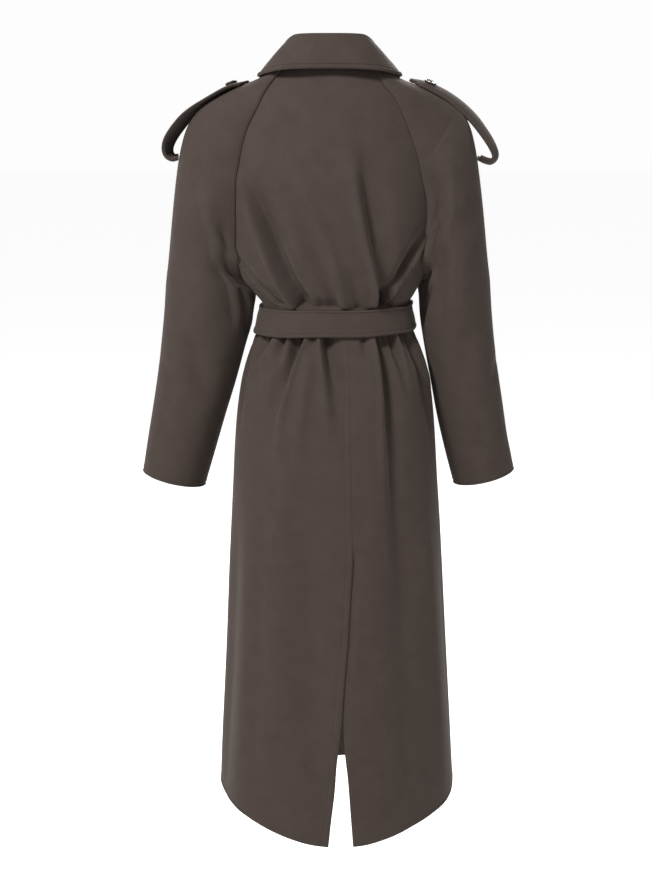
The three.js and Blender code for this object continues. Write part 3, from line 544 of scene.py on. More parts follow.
class Shader:
    """A material's nodes, each made by one call."""

    def __init__(self, name):
        self.material = bpy.data.materials.new(name)
        self.material.use_nodes = True
        self.tree = self.material.node_tree
        self.tree.nodes.clear()
        self.output = self.tree.nodes.new("ShaderNodeOutputMaterial")

    def node(self, kind, settings=None, inputs=None, out=0):
        node = self.tree.nodes.new(kind)
        for key, value in (settings or {}).items():
            setattr(node, key, value)
        for key, value in (inputs or {}).items():
            socket = node.inputs[key]
            if isinstance(value, Socket):
                self.tree.links.new(value.socket, socket)
            else:
                socket.default_value = value
        return Socket(self, node.outputs[out])

    def blend(self, share, low, high):
        return self.node("ShaderNodeMix", {"data_type": "RGBA"},
                         {0: share, 6: low, 7: high}, out=2)

    def finish(self, inputs):
        bsdf = self.node("ShaderNodeBsdfPrincipled", None, inputs)
        self.tree.links.new(bsdf.socket, self.output.inputs["Surface"])
        return self.material


def wool_material(name, dark, light, nap=1.0):
    """Felted wool: a soft nap, faint mottling, and fibres that catch the light."""
    shader = Shader(name)
    place = shader.node("ShaderNodeTexCoord", out=3)
    mottle = shader.node("ShaderNodeTexNoise", None,
                         {"Vector": place, "Scale": 38.0, "Detail": 3.0, "Roughness": 0.6})
    fibre = shader.node("ShaderNodeTexNoise", None,
                        {"Vector": place, "Scale": 1300.0, "Detail": 3.0, "Roughness": 0.65})
    stretched = shader.node("ShaderNodeMapping", None,
                            {"Vector": place, "Scale": (1.0, 1.0, 0.28)})
    combed = shader.node("ShaderNodeTexNoise", None,
                         {"Vector": stretched, "Scale": 700.0, "Detail": 2.0,
                          "Roughness": 0.5})
    tone = mottle * 0.45 + fibre * 0.35 + combed * 0.30
    colour = shader.blend(tone, (*dark, 1), (*light, 1))
    height = fibre * 0.55 + combed * 0.45 + mottle * 0.25
    bump = shader.node("ShaderNodeBump", None,
                       {"Strength": 0.35 * nap, "Distance": 0.0007, "Height": height})
    rough = 0.82 + 0.14 * fibre
    return shader.finish({
        "Base Color": colour, "Roughness": rough, "Normal": bump,
        "Sheen Weight": 0.08, "Sheen Roughness": 0.45, "Sheen Tint": (0.9, 0.78, 0.7, 1),
        "Specular IOR Level": 0.06,
    })


def plain_material(name, colour, roughness, bump_scale, strength, distance):
    shader = Shader(name)
    place = shader.node("ShaderNodeTexCoord", out=3)
    grain = shader.node("ShaderNodeTexNoise", None,
                        {"Vector": place, "Scale": bump_scale, "Detail": 3.0,
                         "Roughness": 0.6})
    dark = tuple(0.75 * c for c in colour)
    bump = shader.node("ShaderNodeBump", None,
                       {"Strength": strength, "Distance": distance, "Height": grain})
    return shader.finish({
        "Base Color": shader.blend(grain, (*dark, 1), (*colour, 1)),
        "Roughness": roughness + 0.15 * grain, "Normal": bump,
    })


WOOL_DARK = (0.0225, 0.0168, 0.0142)
WOOL_LIGHT = (0.0535, 0.0405, 0.0348)
wool = wool_material("felted wool", WOOL_DARK, WOOL_LIGHT)
thread = plain_material("sewing thread", (0.045, 0.035, 0.031), 0.6, 900.0, 0.3, 0.0002)
horn = plain_material("dark button", (0.03, 0.024, 0.02), 0.32, 120.0, 0.05, 0.0003)

COARSE = 5.0


def draw_in(points, first=True, last=True, top=False, low=False):
    """Leaves half of a seam's gap at the edges that are sewn."""
    half = SEAM_GAP / 2
    if first:
        points[:, 0] += unit(points[:, 2] - points[:, 0]) * half
    if last:
        points[:, -1] += unit(points[:, -3] - points[:, -1]) * half
    if top:
        points[0] += unit(points[2] - points[0]) * half
    if low:
        points[-1] += unit(points[-3] - points[-1]) * half
    return points


def add_relief(points, relief, sign=1):
    return points + grid_normals(points) * (relief * sign)[..., None]


# Back above the waist


def back_bodice():
    waist = [(90, -90, -366, -361, -366), (90, -90, -382, -380, -382),
             (90, -90, -400, -400, -400)]
    rows = [(a["back_turn"], -b["back_turn"], a["back_z"], b["back_z"], a["mid_z"])
            for a, b in zip(LEFT_SHOULDER, RIGHT_SHOULDER)] + waist
    names = "left right left_z right_z mid_z".split()
    knots = [dict(zip(names, row), at=i) for i, row in enumerate(rows)]
    read = {name: curve(knots, "at", name) for name in names}
    at = np.linspace(0, len(rows) - 1, 130)
    edge = {name: read[name](at)[:, None] for name in names}

    def places(share):
        middle = 4 * share * (1 - share)
        side = mix(edge["right_z"], edge["left_z"], share)
        level = mix(edge["right_z"], edge["left_z"], 0.5)
        turn = mix(edge["right"], edge["left"], share)
        return turn, side + middle * (edge["mid_z"] - level)

    coarse = np.broadcast_to(np.linspace(0, 1, 60), (len(at), 60))
    lengths = length_of(plain(*places(coarse)))
    share = across_steps(lengths, 118, SEAM_MARKS, SEAM_MARKS)
    turn, z = places(share)
    points = cloth(turn, z)
    points = draw_in(points)
    from_edge = np.minimum(share, 1 - share) * lengths[:, None]
    points = add_relief(points, edge_relief(from_edge, 0, SEAM_ROLL), 1)
    obj = sheet_mesh("cloth_back_bodice", points, WALL, wool, 1)
    dress(obj, "back_bodice")


def skirt_height(z, turn):
    share = np.clip((z - VENT_TOP) / (HEM[0]["z"] - VENT_TOP), 0, 1)
    around = np.minimum(np.abs(turn), 360 - np.abs(turn))
    return z + share * (hem_at(around) - HEM[0]["z"])


back_seam = curve(BACK_SEAM, "z", "turn")
vent_left = curve(VENT_LEFT, "z", "turn")
vent_right = curve(VENT_RIGHT, "z", "turn")


def back_seam_at(z):
    return np.where(z >= VENT_TOP, back_seam(z), vent_left(z))


def vent_depth(turn, z):
    down = smooth(-z, -VENT_TOP - VENT_SINK_RISE, -VENT_TOP)
    edge = back_seam_at(z) - VENT_INSET
    return VENT_SINK * down * smooth(turn, edge - VENT_BLEND, edge)


def skirt_rows(step):
    """Heights down the skirt, with rows close together at the vent's top and the hem."""
    upper = np.linspace(-400, VENT_TOP, int((-VENT_TOP - 400) / step))
    low = HEM[0]["z"]
    shares = down_steps(VENT_TOP - 1.5 - low, step, (0, 3), EDGE_MARKS)
    return np.concatenate([upper, VENT_TOP - 1.5 - shares * (VENT_TOP - 1.5 - low)])


def back_skirt(name, side):
    z = skirt_rows(COARSE)[:, None]
    in_vent = z < VENT_TOP
    edge = back_seam_at(z)
    lengths = length_of(plain(mix(side * 90, edge, np.linspace(0, 1, 40)[None, :]), z))
    share = across_steps(lengths, 86, (0, 0.6, 1.5, 3), EDGE_MARKS)
    turn = mix(side * 90.0, edge, share)
    from_back = (1 - share) * lengths[:, None]
    if side < 0:
        end = np.where(in_vent, vent_right(z), edge)
        inner = np.minimum(edge, end) - VENT_INSET
        tuck = mix(inner, end, np.linspace(0, 1, 9)[1:])
        turn = np.concatenate([mix(side * 90.0, inner, share), tuck], 1)
        hidden = np.abs(turn[:, -1:] - turn) * np.radians(1) * half_at(z)
        from_back = np.where(in_vent, hidden, np.concatenate([from_back, 0 * tuck], 1))
    out = -vent_depth(turn, z) if side < 0 else np.zeros_like(turn)
    points = draw_in(cloth(turn, skirt_height(z, turn), out), first=False, top=True)
    points[:, 0] -= unit(points[:, 2] - points[:, 0]) * SIDE_SEAM_LAP
    from_side = np.abs(turn - side * 90) * np.radians(1) * half_at(z)
    from_hem = (z - HEM[0]["z"]) * np.ones_like(turn)
    relief = edge_relief(from_side, 0, SEAM_ROLL)
    if side > 0:
        relief += edge_relief(from_back, EDGE_STITCH, np.where(in_vent, 1.0, SEAM_ROLL))
    else:
        relief += np.where(in_vent, 0.6, SEAM_ROLL) * edge_relief(from_back, 0)
    relief += edge_relief(from_hem, EDGE_STITCH)
    sign = -1 if side > 0 else 1
    points = add_relief(points, relief, sign)
    obj = sheet_mesh("cloth_" + name, points, WALL, wool, sign)
    dress(obj, name)
    normals = grid_normals(points)
    row = len(z) - 1 - EDGE_MARKS.index(EDGE_STITCH)
    last = points.shape[1]
    if side > 0:
        last -= 1 + EDGE_MARKS.index(EDGE_STITCH)
        sew(name, stitch_places(points, normals, column=last, low=4, high=row), sign)
    sew(name, stitch_places(points, normals, row=row, low=2, high=last), sign)


def front_turn(reach, z):
    share = reach / half_at(z)
    sine = np.sign(share) * np.abs(share) ** (ROUNDNESS / 2)
    return 180 - np.degrees(np.arcsin(np.clip(sine, -1, 1)))


seam_turn = curve(LEFT_SHOULDER, "front_z", "front_turn")


def overlap_lift(side, turn, z, seam):
    if side > 0:
        return np.zeros(np.broadcast(turn, z).shape)
    edge = front_turn(reach_at(z), z)
    share = (np.abs(turn) - seam) / (edge - seam)
    return FRONT_LIFT * smooth(-z, LIFT_HIGH, LIFT_LOW) * smooth(share, LIFT_FROM, LIFT_TO)


def front_panel(name, side):
    shoulder = LEFT_SHOULDER if side > 0 else RIGHT_SHOULDER
    rise = 6
    knots = [{"at": i, "seam": row["front_turn"], "seam_z": row["front_z"],
              "edge_z": row["front_z"] + rise * (1 - i / UNDERARM)}
             for i, row in enumerate(shoulder)]
    knots += [{"at": UNDERARM + 1 + i, "seam": 90, "seam_z": z, "edge_z": z}
              for i, z in enumerate((-366, -382, -400))]
    last = UNDERARM + 3
    at = np.linspace(0, last, 105)
    seam = curve(knots, "at", "seam")(at)
    seam_z = curve(knots, "at", "seam_z")(at)
    edge_z = curve(knots, "at", "edge_z")(at)
    skirt = skirt_rows(COARSE)[1:]
    seam = np.concatenate([seam, np.full(len(skirt), 90.0)])[:, None]
    seam_z = np.concatenate([seam_z, skirt])[:, None]
    edge_z = np.concatenate([edge_z, skirt])[:, None]
    edge = front_turn(reach_at(edge_z), edge_z)

    def places(share):
        turn = mix(seam, edge, share)
        return turn, skirt_height(mix(seam_z, edge_z, share), turn)

    coarse = np.broadcast_to(np.linspace(0, 1, 40), (len(seam), 40))
    lengths = length_of(plain(*places(coarse)))
    share = across_steps(lengths, 76, (0, 0.6, 1.5, 3),
                         (0, 0.6, 1.5, 3, 5, 6.6, 7.4, 8, 8.6, 9.4))
    turn, z = places(share)
    points = cloth(side * turn, z, overlap_lift(side, turn, z, seam))
    points = draw_in(points, last=False)
    from_seam = share * lengths[:, None]
    from_edge = (1 - share) * lengths[:, None]
    from_hem = (seam_z - HEM[0]["z"]) * np.ones_like(turn)
    relief = edge_relief(from_seam, 0, SEAM_ROLL) + edge_relief(from_edge, EDGE_STITCH)
    relief += edge_relief(from_hem, EDGE_STITCH)
    points = add_relief(points, relief, side)
    obj = sheet_mesh("cloth_" + name, points, WALL, wool, side)
    dress(obj, name)
    normals = grid_normals(points)
    column = share.shape[1] - 1 - 7
    row = len(seam_z) - 1 - EDGE_MARKS.index(EDGE_STITCH)
    sew(name, stitch_places(points, normals, column=column, low=3, high=row), side)
    sew(name, stitch_places(points, normals, row=row, low=2, high=column), side)


def lapel(name, side, rows):
    knots = [dict(row, at=i) for i, row in enumerate(rows)]
    at = np.linspace(0, len(rows) - 1, 70)
    read = {key: curve(knots, "at", key)(at)[:, None] for key in ("z", "width", "fall")}

    def places(share):
        z = read["z"] - share * read["fall"]
        return front_turn(reach_at(read["z"]) + 1 + share * read["width"], z), z

    coarse = np.broadcast_to(np.linspace(0, 1, 20), (len(at), 20))
    lengths = np.maximum(length_of(plain(*places(coarse))), 3.0)
    marks = np.array((0, 0.6, 1.5, 3, 5, 6.6, 7.4, 8, 8.6, 9.4))
    share = np.clip(across_steps(np.maximum(lengths, 12), 12, (0, 1.5), marks), 0, 1)
    turn, z = places(share)
    seam = np.where(z > LEFT_SHOULDER[-1]["front_z"], seam_turn(z), 90)
    lift = overlap_lift(side, turn, z, seam) + LAPEL_LIFT
    roll = 2.2 * np.exp(-(share * lengths[:, None] / 9) ** 2)
    points = cloth(side * turn, z, lift + roll)
    from_edge = (1 - share) * lengths[:, None]
    down = np.linspace(0, 1, len(at))[:, None] * 260
    relief = edge_relief(from_edge, EDGE_STITCH) + edge_relief(down + 0 * share, 0)
    points = add_relief(points, relief, side)
    obj = sheet_mesh("cloth_" + name, points, WALL, wool, side)
    dress(obj, name)


# Sleeves


def sleeve_fold_height(rows, angle, z):
    height = np.zeros(angle.shape)
    for fold in rows:
        run = (fold["top"] - z) / (fold["top"] - fold["low"])
        across = (angle - mix(fold["angle_top"], fold["angle_low"], run)) / fold["width"]
        fade = smooth(run, 0, 0.35) * (1 - smooth(run, 0.65, 1))
        inside = (run > 0) & (run < 1)
        height -= np.where(inside, fold["depth"] * fade * crease(across, fold["crisp"]), 0)
    return height


def sleeve(name, side, shoulder, arm, folds):
    cap = [dict(row, at=i) for i, row in enumerate(shoulder)]
    rail = cap + [dict(row, at=UNDERARM + 1 + i) for i, row in enumerate(arm)]
    below = [{"at": UNDERARM, "inner_x": None, "inner_z": shoulder[-1]["back_z"],
              "middle_y": 0}]
    pit = plain(side * 90.0, shoulder[-1]["back_z"])
    below[0]["inner_x"] = side * float(pit[0])
    below += [dict(row, at=UNDERARM + 1 + i) for i, row in enumerate(arm)]
    cap_rows = np.linspace(0, UNDERARM, 96)
    arm_rows = UNDERARM + down_steps(len(arm) * 40.0, 4.4, (0, 3), np.array(EDGE_MARKS) * 1.18
                                     ) * len(arm)
    at = np.concatenate([cap_rows, arm_rows[1:]])
    top_x = curve(rail, "at", "top_x")(at) * side
    top_z = curve(rail, "at", "top_z")(at)
    depth = curve(rail, "at", "depth")(at)[:, None]
    opened = at < UNDERARM - 1e-6
    cap_at = np.minimum(at, UNDERARM)
    ends = []
    for turn_key, z_key in (("back_turn", "back_z"), ("front_turn", "front_z")):
        turn = curve(cap, "at", turn_key)(cap_at)
        z = curve(cap, "at", z_key)(cap_at)
        seam = cloth(side * turn, z)
        inner = np.stack([side * curve(below, "at", "inner_x")(at),
                          curve(below, "at", "middle_y")(at),
                          curve(below, "at", "inner_z")(at)], -1)
        ends.append(np.where(opened[:, None], seam, inner))
    middle_y = np.where(opened, 0, curve(below, "at", "middle_y")(at))[:, None]
    top = np.stack([top_x, middle_y[:, 0], top_z], -1)

    def ring(share):
        """Places round the arm: share 0 at the back end, a half on the outer rail."""
        result = 0
        for end, sign, mine in ((ends[0], 1, share < 0.5), (ends[1], -1, share >= 0.5)):
            away = np.abs(end[:, 1:2] - middle_y) / depth
            reach = np.pi - np.arcsin(np.minimum(1, away))
            axis = (top - end) * np.array([1, 0, 1]) / (1 - np.cos(reach))
            angle = reach * np.abs(1 - 2 * share)
            points = top[:, None] + axis[:, None] * (np.cos(angle) - 1)[..., None]
            points[..., 1] += sign * depth * np.sin(angle)
            out = axis[:, None] * (np.cos(angle) / (axis ** 2).sum(-1)[:, None])[..., None]
            out[..., 1] = sign * np.sin(angle) / depth
            edge_fade = np.where(opened[:, None], 1 - smooth(np.abs(1 - 2 * share), 0.8, 1), 1)
            height = sleeve_fold_height(folds, sign * np.degrees(angle), points[..., 2])
            points += unit(out) * (height * edge_fade)[..., None]
            result = result + points * mine[..., None]
        return result

    coarse = np.broadcast_to(np.linspace(0, 1, 61), (len(at), 61))
    lengths = length_of(ring(coarse))
    share = across_steps(lengths, 110, SEAM_MARKS, SEAM_MARKS)
    points = ring(share)
    gap = (np.where(opened, SEAM_GAP / 2, 0))[:, None]
    points[:, 0] += unit(points[:, 2] - points[:, 0]) * gap
    points[:, -1] += unit(points[:, -3] - points[:, -1]) * gap
    armpit = int(np.argmax(~opened))
    drop = np.exp(-((at - at[armpit]) / 0.25) ** 2) * SEAM_GAP * (at >= at[armpit])
    points[:, 0, 0] += side * drop
    points[:, -1, 0] += side * drop
    from_back = share * lengths[:, None]
    from_front = (1 - share) * lengths[:, None]
    sewn = smooth(UNDERARM - at, 0.0, 0.6)[:, None]
    relief = sewn * (edge_relief(from_back, SEAM_STITCH, SEAM_ROLL, 0.4, 0.35)
                     + edge_relief(from_front, SEAM_STITCH, SEAM_ROLL, 0.4, 0.35))
    closed = 1 - sewn
    relief += closed * SEAM_ROLL * (edge_relief(from_back, 0) + edge_relief(from_front, 0))
    cuff = (1 - (at[:, None] - UNDERARM) / (at[-1] - UNDERARM)) * len(arm) * 40.0 / 1.18
    relief = relief + edge_relief(cuff + 0 * share, EDGE_STITCH)
    normals = grid_normals(points)
    ends_normal = unit(normals[:, 0] + normals[:, -1])
    joined = (~opened)[:, None]
    normals[:, 0] = np.where(joined, ends_normal, normals[:, 0])
    normals[:, -1] = np.where(joined, ends_normal, normals[:, -1])
    sign = -side
    points = points + normals * (relief * sign)[..., None]
    obj = sheet_mesh("cloth_" + name, points, WALL, wool, sign, merged=True)
    dress(obj, name)
    normals = grid_normals(points)
    column = SEAM_MARKS.index(SEAM_STITCH)
    stop = armpit - 2
    last = share.shape[1] - 1 - column
    sew(name, stitch_places(points, normals, column=column, low=2, high=stop), sign)
    sew(name, stitch_places(points, normals, column=last, low=2, high=stop), sign)
    row = len(at) - 1 - EDGE_MARKS.index(EDGE_STITCH)
    sew(name, stitch_places(points, normals, row=row), sign)
    return ring(np.broadcast_to(np.linspace(0, 1, 41), (len(at), 41)))[0]


# Collar

fold_z = curve(COLLAR_FOLD, "angle", "z")
edge_axes = [curve(COLLAR_EDGE, "angle", axis) for axis in "xyz"]


def fold_point(angle):
    radians = np.radians(angle)
    rear = np.cos(radians)
    depth = np.where(rear > 0, FOLD_BACK, FOLD_FRONT)
    return np.stack([FOLD_HALF * power(np.sin(radians)), depth * power(rear),
                     fold_z(np.abs(angle))], -1)


def edge_point(angle):
    x, y, z = (read(np.abs(angle)) for read in edge_axes)
    return np.stack([np.sign(angle) * x, y, z], -1)


def level_out(points):
    flat = points.copy()
    flat[..., 2] = 0
    return unit(flat)


def collar_fall():
    marks = (0, 0.6, 1.5, 3.0, 5.0, 6.6, 7.4, 8.0, 8.6, 9.4, 11)
    angle = np.linspace(-COLLAR_END, COLLAR_END, 181)[None, :]
    low = 1 - np.array(marks)[::-1] / 62
    share = np.concatenate([np.linspace(0, low[0], 18)[:-1], low])[:, None]
    points = mix(fold_point(angle), edge_point(angle), share[..., None])
    bend = np.sin(np.pi * share)
    points[..., 2] += COLLAR_FRONT_ROLL * bend * smooth(np.abs(angle), 80, 110)
    points += level_out(points) * (COLLAR_ROLL * bend * (1 - share))[..., None]
    over = np.linspace(1, 0, 9)[:-1][:, None] * np.pi
    radius = 3.5
    fold = np.broadcast_to(fold_point(angle), (8, angle.size, 3)).copy()
    fold -= level_out(fold) * (radius * (1 - np.cos(over)))[..., None]
    fold[..., 2] += radius * 0.8 * np.sin(over) - 2.5 * (over > 3)
    points = np.concatenate([fold, points], 0)
    rows = points.shape[0]
    from_low = np.concatenate([np.full(8, 90.0), (1 - share[:, 0]) * 62])[:, None]
    lengths = length_of(points)[:, None]
    travelled = np.concatenate([np.zeros((rows, 1)), np.cumsum(
        np.linalg.norm(np.diff(points, axis=1), axis=-1), 1)], 1)
    from_end = np.minimum(travelled, lengths - travelled)
    relief = edge_relief(from_low + 0 * angle, EDGE_STITCH, roll=1.4, puff=1.9, groove=1.0)
    relief += edge_relief(from_end, EDGE_STITCH, groove=0.3)
    ripple = 0.9 * np.sin(np.radians(angle * 2.3) + 0.6) * np.clip(share, 0, 1)
    relief[8:] += ripple
    points = add_relief(points, relief, 1)
    obj = sheet_mesh("cloth_collar_fall", points, COLLAR_WALL, wool, 1)
    dress(obj, "collar_fall")
    row = rows - 1 - marks.index(EDGE_STITCH)
    sew("collar_fall", stitch_places(points, grid_normals(points), row=row, low=4, high=-4), 1)


def collar_stand(neck_line):
    inset = COLLAR_WALL + 1
    angle = np.degrees(np.arctan2(neck_line[:, 0], neck_line[:, 1]))
    fold = fold_point(np.clip(angle, -COLLAR_END, COLLAR_END))
    drop = mix(4.6, 6.0, smooth(np.abs(angle), 50, 100))
    top = fold - level_out(fold) * inset
    top[:, 2] = np.maximum(fold[:, 2] - drop, neck_line[:, 2] + 3)
    bottom = neck_line + np.array([0, 0, 0.5])
    share = np.linspace(0, 1, 10)[:, None, None]
    points = mix(bottom, top, share)
    obj = sheet_mesh("cloth_collar_stand", points, WALL, wool, -1)
    dress(obj, "collar_stand")


# Shoulder straps


def strap_frames(rows, at):
    knots = [dict(row, at=i) for i, row in enumerate(rows)]
    x, z, lean = (curve(knots, "at", key)(at) for key in ("x", "z", "lean"))
    centre = np.stack([x, np.zeros_like(x), z], -1)
    along = unit(np.gradient(centre, at, axis=0))
    side = np.sign(rows[0]["x"])
    up = np.stack([-along[:, 2], np.zeros_like(x), along[:, 0]], -1) * side
    lean = np.radians(lean)[:, None]
    y = np.array([0, 1, 0])
    across = y * np.cos(lean) - up * np.sin(lean)
    return centre, across, up * np.cos(lean) + y * np.sin(lean)


def shoulder_strap(name, rows):
    at = np.concatenate([np.linspace(0, 1.2, 16), np.linspace(1.2, len(rows) - 1, 84)[1:]])
    centre, across, out = strap_frames(rows, at)
    width = STRAP_WIDTH * (1 - 0.72 * np.clip(1 - at / 1.05, 0, 1) ** 1.15)
    distance = down_steps(STRAP_WIDTH, 3.0, BELT_MARKS, BELT_MARKS)[None, :] - 0.5
    offset = distance * width[:, None]
    points = centre[:, None] + across[:, None] * offset[..., None]
    points += out[:, None] * (STRAP_THICKNESS / 2 - offset ** 2 * STRAP_ARCH)[..., None]
    from_side = np.maximum(width[:, None] / 2 - np.abs(offset), 0) * np.ones_like(offset)
    relief = edge_relief(from_side, BELT_STITCH, roll=1.1, puff=0.5, groove=0.6)
    normals = grid_normals(points)
    if (normals[50, 10] * out[50]).sum() < 0:
        normals, sign = -normals, -1
    else:
        sign = 1
    points = points + normals * relief[..., None]
    obj = sheet_mesh("cloth_" + name, points, STRAP_THICKNESS, wool, sign)
    dress(obj, name)
    left = rows[0]["x"] > 0
    columns = distance.shape[1]
    mark = BELT_MARKS.index(BELT_STITCH)
    for column in (mark, columns - 1 - mark):
        sew(name, (points[14:-2, column], normals[14:-2, column]))
    return obj


def strap_button(name, rows):
    """A flat sewn button with a raised rim, seated on its strap."""
    centre, _, out = strap_frames(rows, np.array([BUTTON_SEAT - 0.01, float(BUTTON_SEAT)]))
    r, t = BUTTON_RADIUS, BUTTON_THICKNESS
    profile = [(0.0, 0.0), (0.82 * r, 0.0), (0.97 * r, 0.25 * t), (r, 0.55 * t),
               (0.95 * r, 0.88 * t), (0.84 * r, t), (0.72 * r, 0.9 * t), (0.62 * r, 0.7 * t),
               (0.3 * r, 0.62 * t), (0.0, 0.6 * t)]
    bm = bmesh.new()
    verts = [bm.verts.new((x * MM, 0, z * MM)) for x, z in profile]
    edges = [bm.edges.new(pair) for pair in zip(verts, verts[1:])]
    bmesh.ops.spin(bm, geom=verts + edges, cent=(0, 0, 0), axis=(0, 0, 1),
                   angle=2 * math.pi, steps=40, use_merge=True)
    bmesh.ops.remove_doubles(bm, verts=bm.verts, dist=0.01 * MM)
    bmesh.ops.recalc_face_normals(bm, faces=bm.faces)
    for face in bm.faces:
        face.smooth = True
    stitch = 0.22 * r
    for lean in (-1, 1):
        place = (Matrix.Translation(Vector((0, 0, 0.66 * t)) * MM)
                 @ Matrix.Rotation(math.radians(45 * lean), 4, "Z")
                 @ Matrix.Diagonal((stitch * 1.5, 0.55, 0.5, 1)))
        bmesh.ops.create_icosphere(bm, subdivisions=2, radius=MM, matrix=place)
    normal = Vector(out[1])
    turn = Vector((0, 0, 1)).rotation_difference(normal).to_matrix().to_4x4()
    seat = centre[1] + out[1] * (STRAP_THICKNESS / 2 + 0.2)
    bm.transform(Matrix.Translation(Vector(seat * MM)) @ turn)
    mesh = bpy.data.meshes.new(name)
    bm.to_mesh(mesh)
    bm.free()
    mesh.materials.append(horn)
    obj = collection_link(bpy.data.objects.new("sewn_" + name, mesh))
    dress(obj, name, slot="button")


# Belt


def belt():
    turn = np.linspace(-180, 180, 241)[None, :]
    share = 0.5 - down_steps(BELT_WIDTH, 3.0, BELT_MARKS, BELT_MARKS)[:, None]
    x = plain(turn, BELT_MIDDLE)[..., 0]
    sway = 0.9 * np.sin(np.radians(turn * 3 + 40)) + 0.6 * np.sin(np.radians(turn * 7 + 10))
    z = BELT_MIDDLE + BELT_TILT * (x - BELT_CENTRE) + share * BELT_WIDTH + sway
    lift = smooth(np.abs(turn), BELT_RISE_FROM, BELT_RISE_TO)
    dent = 0.5 * np.sin(np.radians(turn * 5 + 75)) + 0.4 * np.sin(np.radians(turn * 11 + 30))
    out = mix(BELT_OUT, BELT_FRONT_OUT, lift) + dent
    turn = turn + 0 * share
    points = plain(turn, z) + facing(plain, turn, z) * (out + 0 * share)[..., None]
    from_edge = (0.5 - np.abs(share)) * BELT_WIDTH + 0 * turn
    relief = edge_relief(from_edge, BELT_STITCH, roll=1.2, puff=0.7, groove=0.7)
    normals = grid_normals(points)
    ends = unit(normals[:, 0] + normals[:, -1])
    normals[:, 0] = ends
    normals[:, -1] = ends
    sign = -1
    if (normals[10, 120] * np.array([0, 1, 0])).sum() > 0:
        sign = 1
    points = points + normals * (relief * sign)[..., None]
    points[:, -1] = points[:, 0]
    obj = sheet_mesh("cloth_belt", points, BELT_THICKNESS, wool, sign, merged=True)
    dress(obj, "belt")
    mark = BELT_MARKS.index(BELT_STITCH)
    for row in (mark, len(share) - 1 - mark):
        sew("belt", (points[row], grid_normals(points)[row] * sign))


def belt_knot():
    """The tied knot: a lump with the belt's turns wrapped round it."""
    knots = [dict(row, at=i) for i, row in enumerate(KNOT_RINGS)]
    at = np.linspace(0, len(knots) - 1, 40)[:, None]
    z = curve(knots, "at", "z")(at)
    half = curve(knots, "at", "half")(at)
    depth = curve(knots, "at", "depth")(at)
    angle = np.radians(np.linspace(0, 360, 61))[None, :]
    face = front_at(BELT_MIDDLE) + BELT_FRONT_OUT + 0.9
    slope = front_at(z) - front_at(BELT_MIDDLE)
    back = face + np.maximum(0, slope) + depth
    x = BELT_CENTRE + half * power(np.cos(angle))
    y = -back - depth * power(np.sin(angle))
    height = z + 0 * angle
    wrap = (x - BELT_CENTRE) * 0.55 + (height + 400)
    relief = -1.6 * np.exp(-((wrap - 13) / 1.8) ** 2) - 1.6 * np.exp(-((wrap + 15) / 1.8) ** 2)
    relief += 0.5 * np.sin(wrap * 0.9)
    inward = np.stack([x - BELT_CENTRE, (y + back) * 1.3, 0 * x], -1)
    points = np.stack([x, y, height], -1) + unit(inward) * relief[..., None]
    points[:, -1] = points[:, 0]
    mesh = bpy.data.meshes.new("knot")
    bm = bmesh.new()
    bmesh.ops.create_grid(bm, x_segments=60, y_segments=39, size=1, calc_uvs=False)
    for vert in bm.verts:
        j = round((vert.co.x + 1) / 2 * 60)
        i = round((vert.co.y + 1) / 2 * 39)
        vert.co = Vector(points[i, j] * MM)
    bmesh.ops.remove_doubles(bm, verts=bm.verts, dist=0.02 * MM)
    rims = [edge for edge in bm.edges if edge.is_boundary]
    bmesh.ops.holes_fill(bm, edges=rims, sides=0)
    bmesh.ops.recalc_face_normals(bm, faces=bm.faces)
    for face in bm.faces:
        face.smooth = True
    bm.to_mesh(mesh)
    bm.free()
    mesh.materials.append(wool)
    obj = collection_link(bpy.data.objects.new("tied_knot", mesh))
    dress(obj, "belt_knot")


def belt_end(name, rows):
    knots = [dict(row, at=i) for i, row in enumerate(rows)]
    at = np.linspace(0, len(rows) - 1, 90)
    z, offset, width = (curve(knots, "at", key)(at)[:, None]
                        for key in ("z", "offset", "width"))
    share = down_steps(BELT_WIDTH, 3.0, BELT_MARKS, BELT_MARKS)[None, :] - 0.5
    away = offset + share * width
    turn = front_turn(away, z)
    lift = FRONT_LIFT + END_GAP + END_THICKNESS + 0.8 * np.sin(z / 23.0)
    z = z + 0 * share
    points = plain(turn, z) + facing(plain, turn, z) * (lift + 0 * share)[..., None]
    normals = grid_normals(points)
    sign = -1 if normals[40, 10][1] > 0 else 1
    from_edge = (0.5 - np.abs(share)) * width
    pleat = 1.6 * np.sin(share * 9.0) * smooth(z, -500, -435)
    relief = edge_relief(from_edge, BELT_STITCH, roll=1.1, puff=0.5, groove=0.6) + pleat
    points = points + normals * (relief * sign)[..., None]
    obj = sheet_mesh("cloth_" + name, points, END_THICKNESS, wool, sign)
    dress(obj, name)
    left = rows[0]["offset"] > 0
    mark = BELT_MARKS.index(BELT_STITCH)
    for column in (mark, share.shape[1] - 1 - mark):
        sew(name, (points[4:-6, column], normals[4:-6, column] * sign))


# The coat

back_bodice()
back_skirt("skirt_back_left", 1)
back_skirt("skirt_back_right", -1)
front_panel("front_left", 1)
front_panel("front_right", -1)
lapel("lapel_left", 1, LEFT_LAPEL)
lapel("lapel_right", -1, RIGHT_LAPEL)
left_neck = sleeve("sleeve_left", 1, LEFT_SHOULDER, LEFT_ARM, LEFT_SLEEVE_FOLDS)
right_neck = sleeve("sleeve_right", -1, RIGHT_SHOULDER, RIGHT_ARM, RIGHT_SLEEVE_FOLDS)


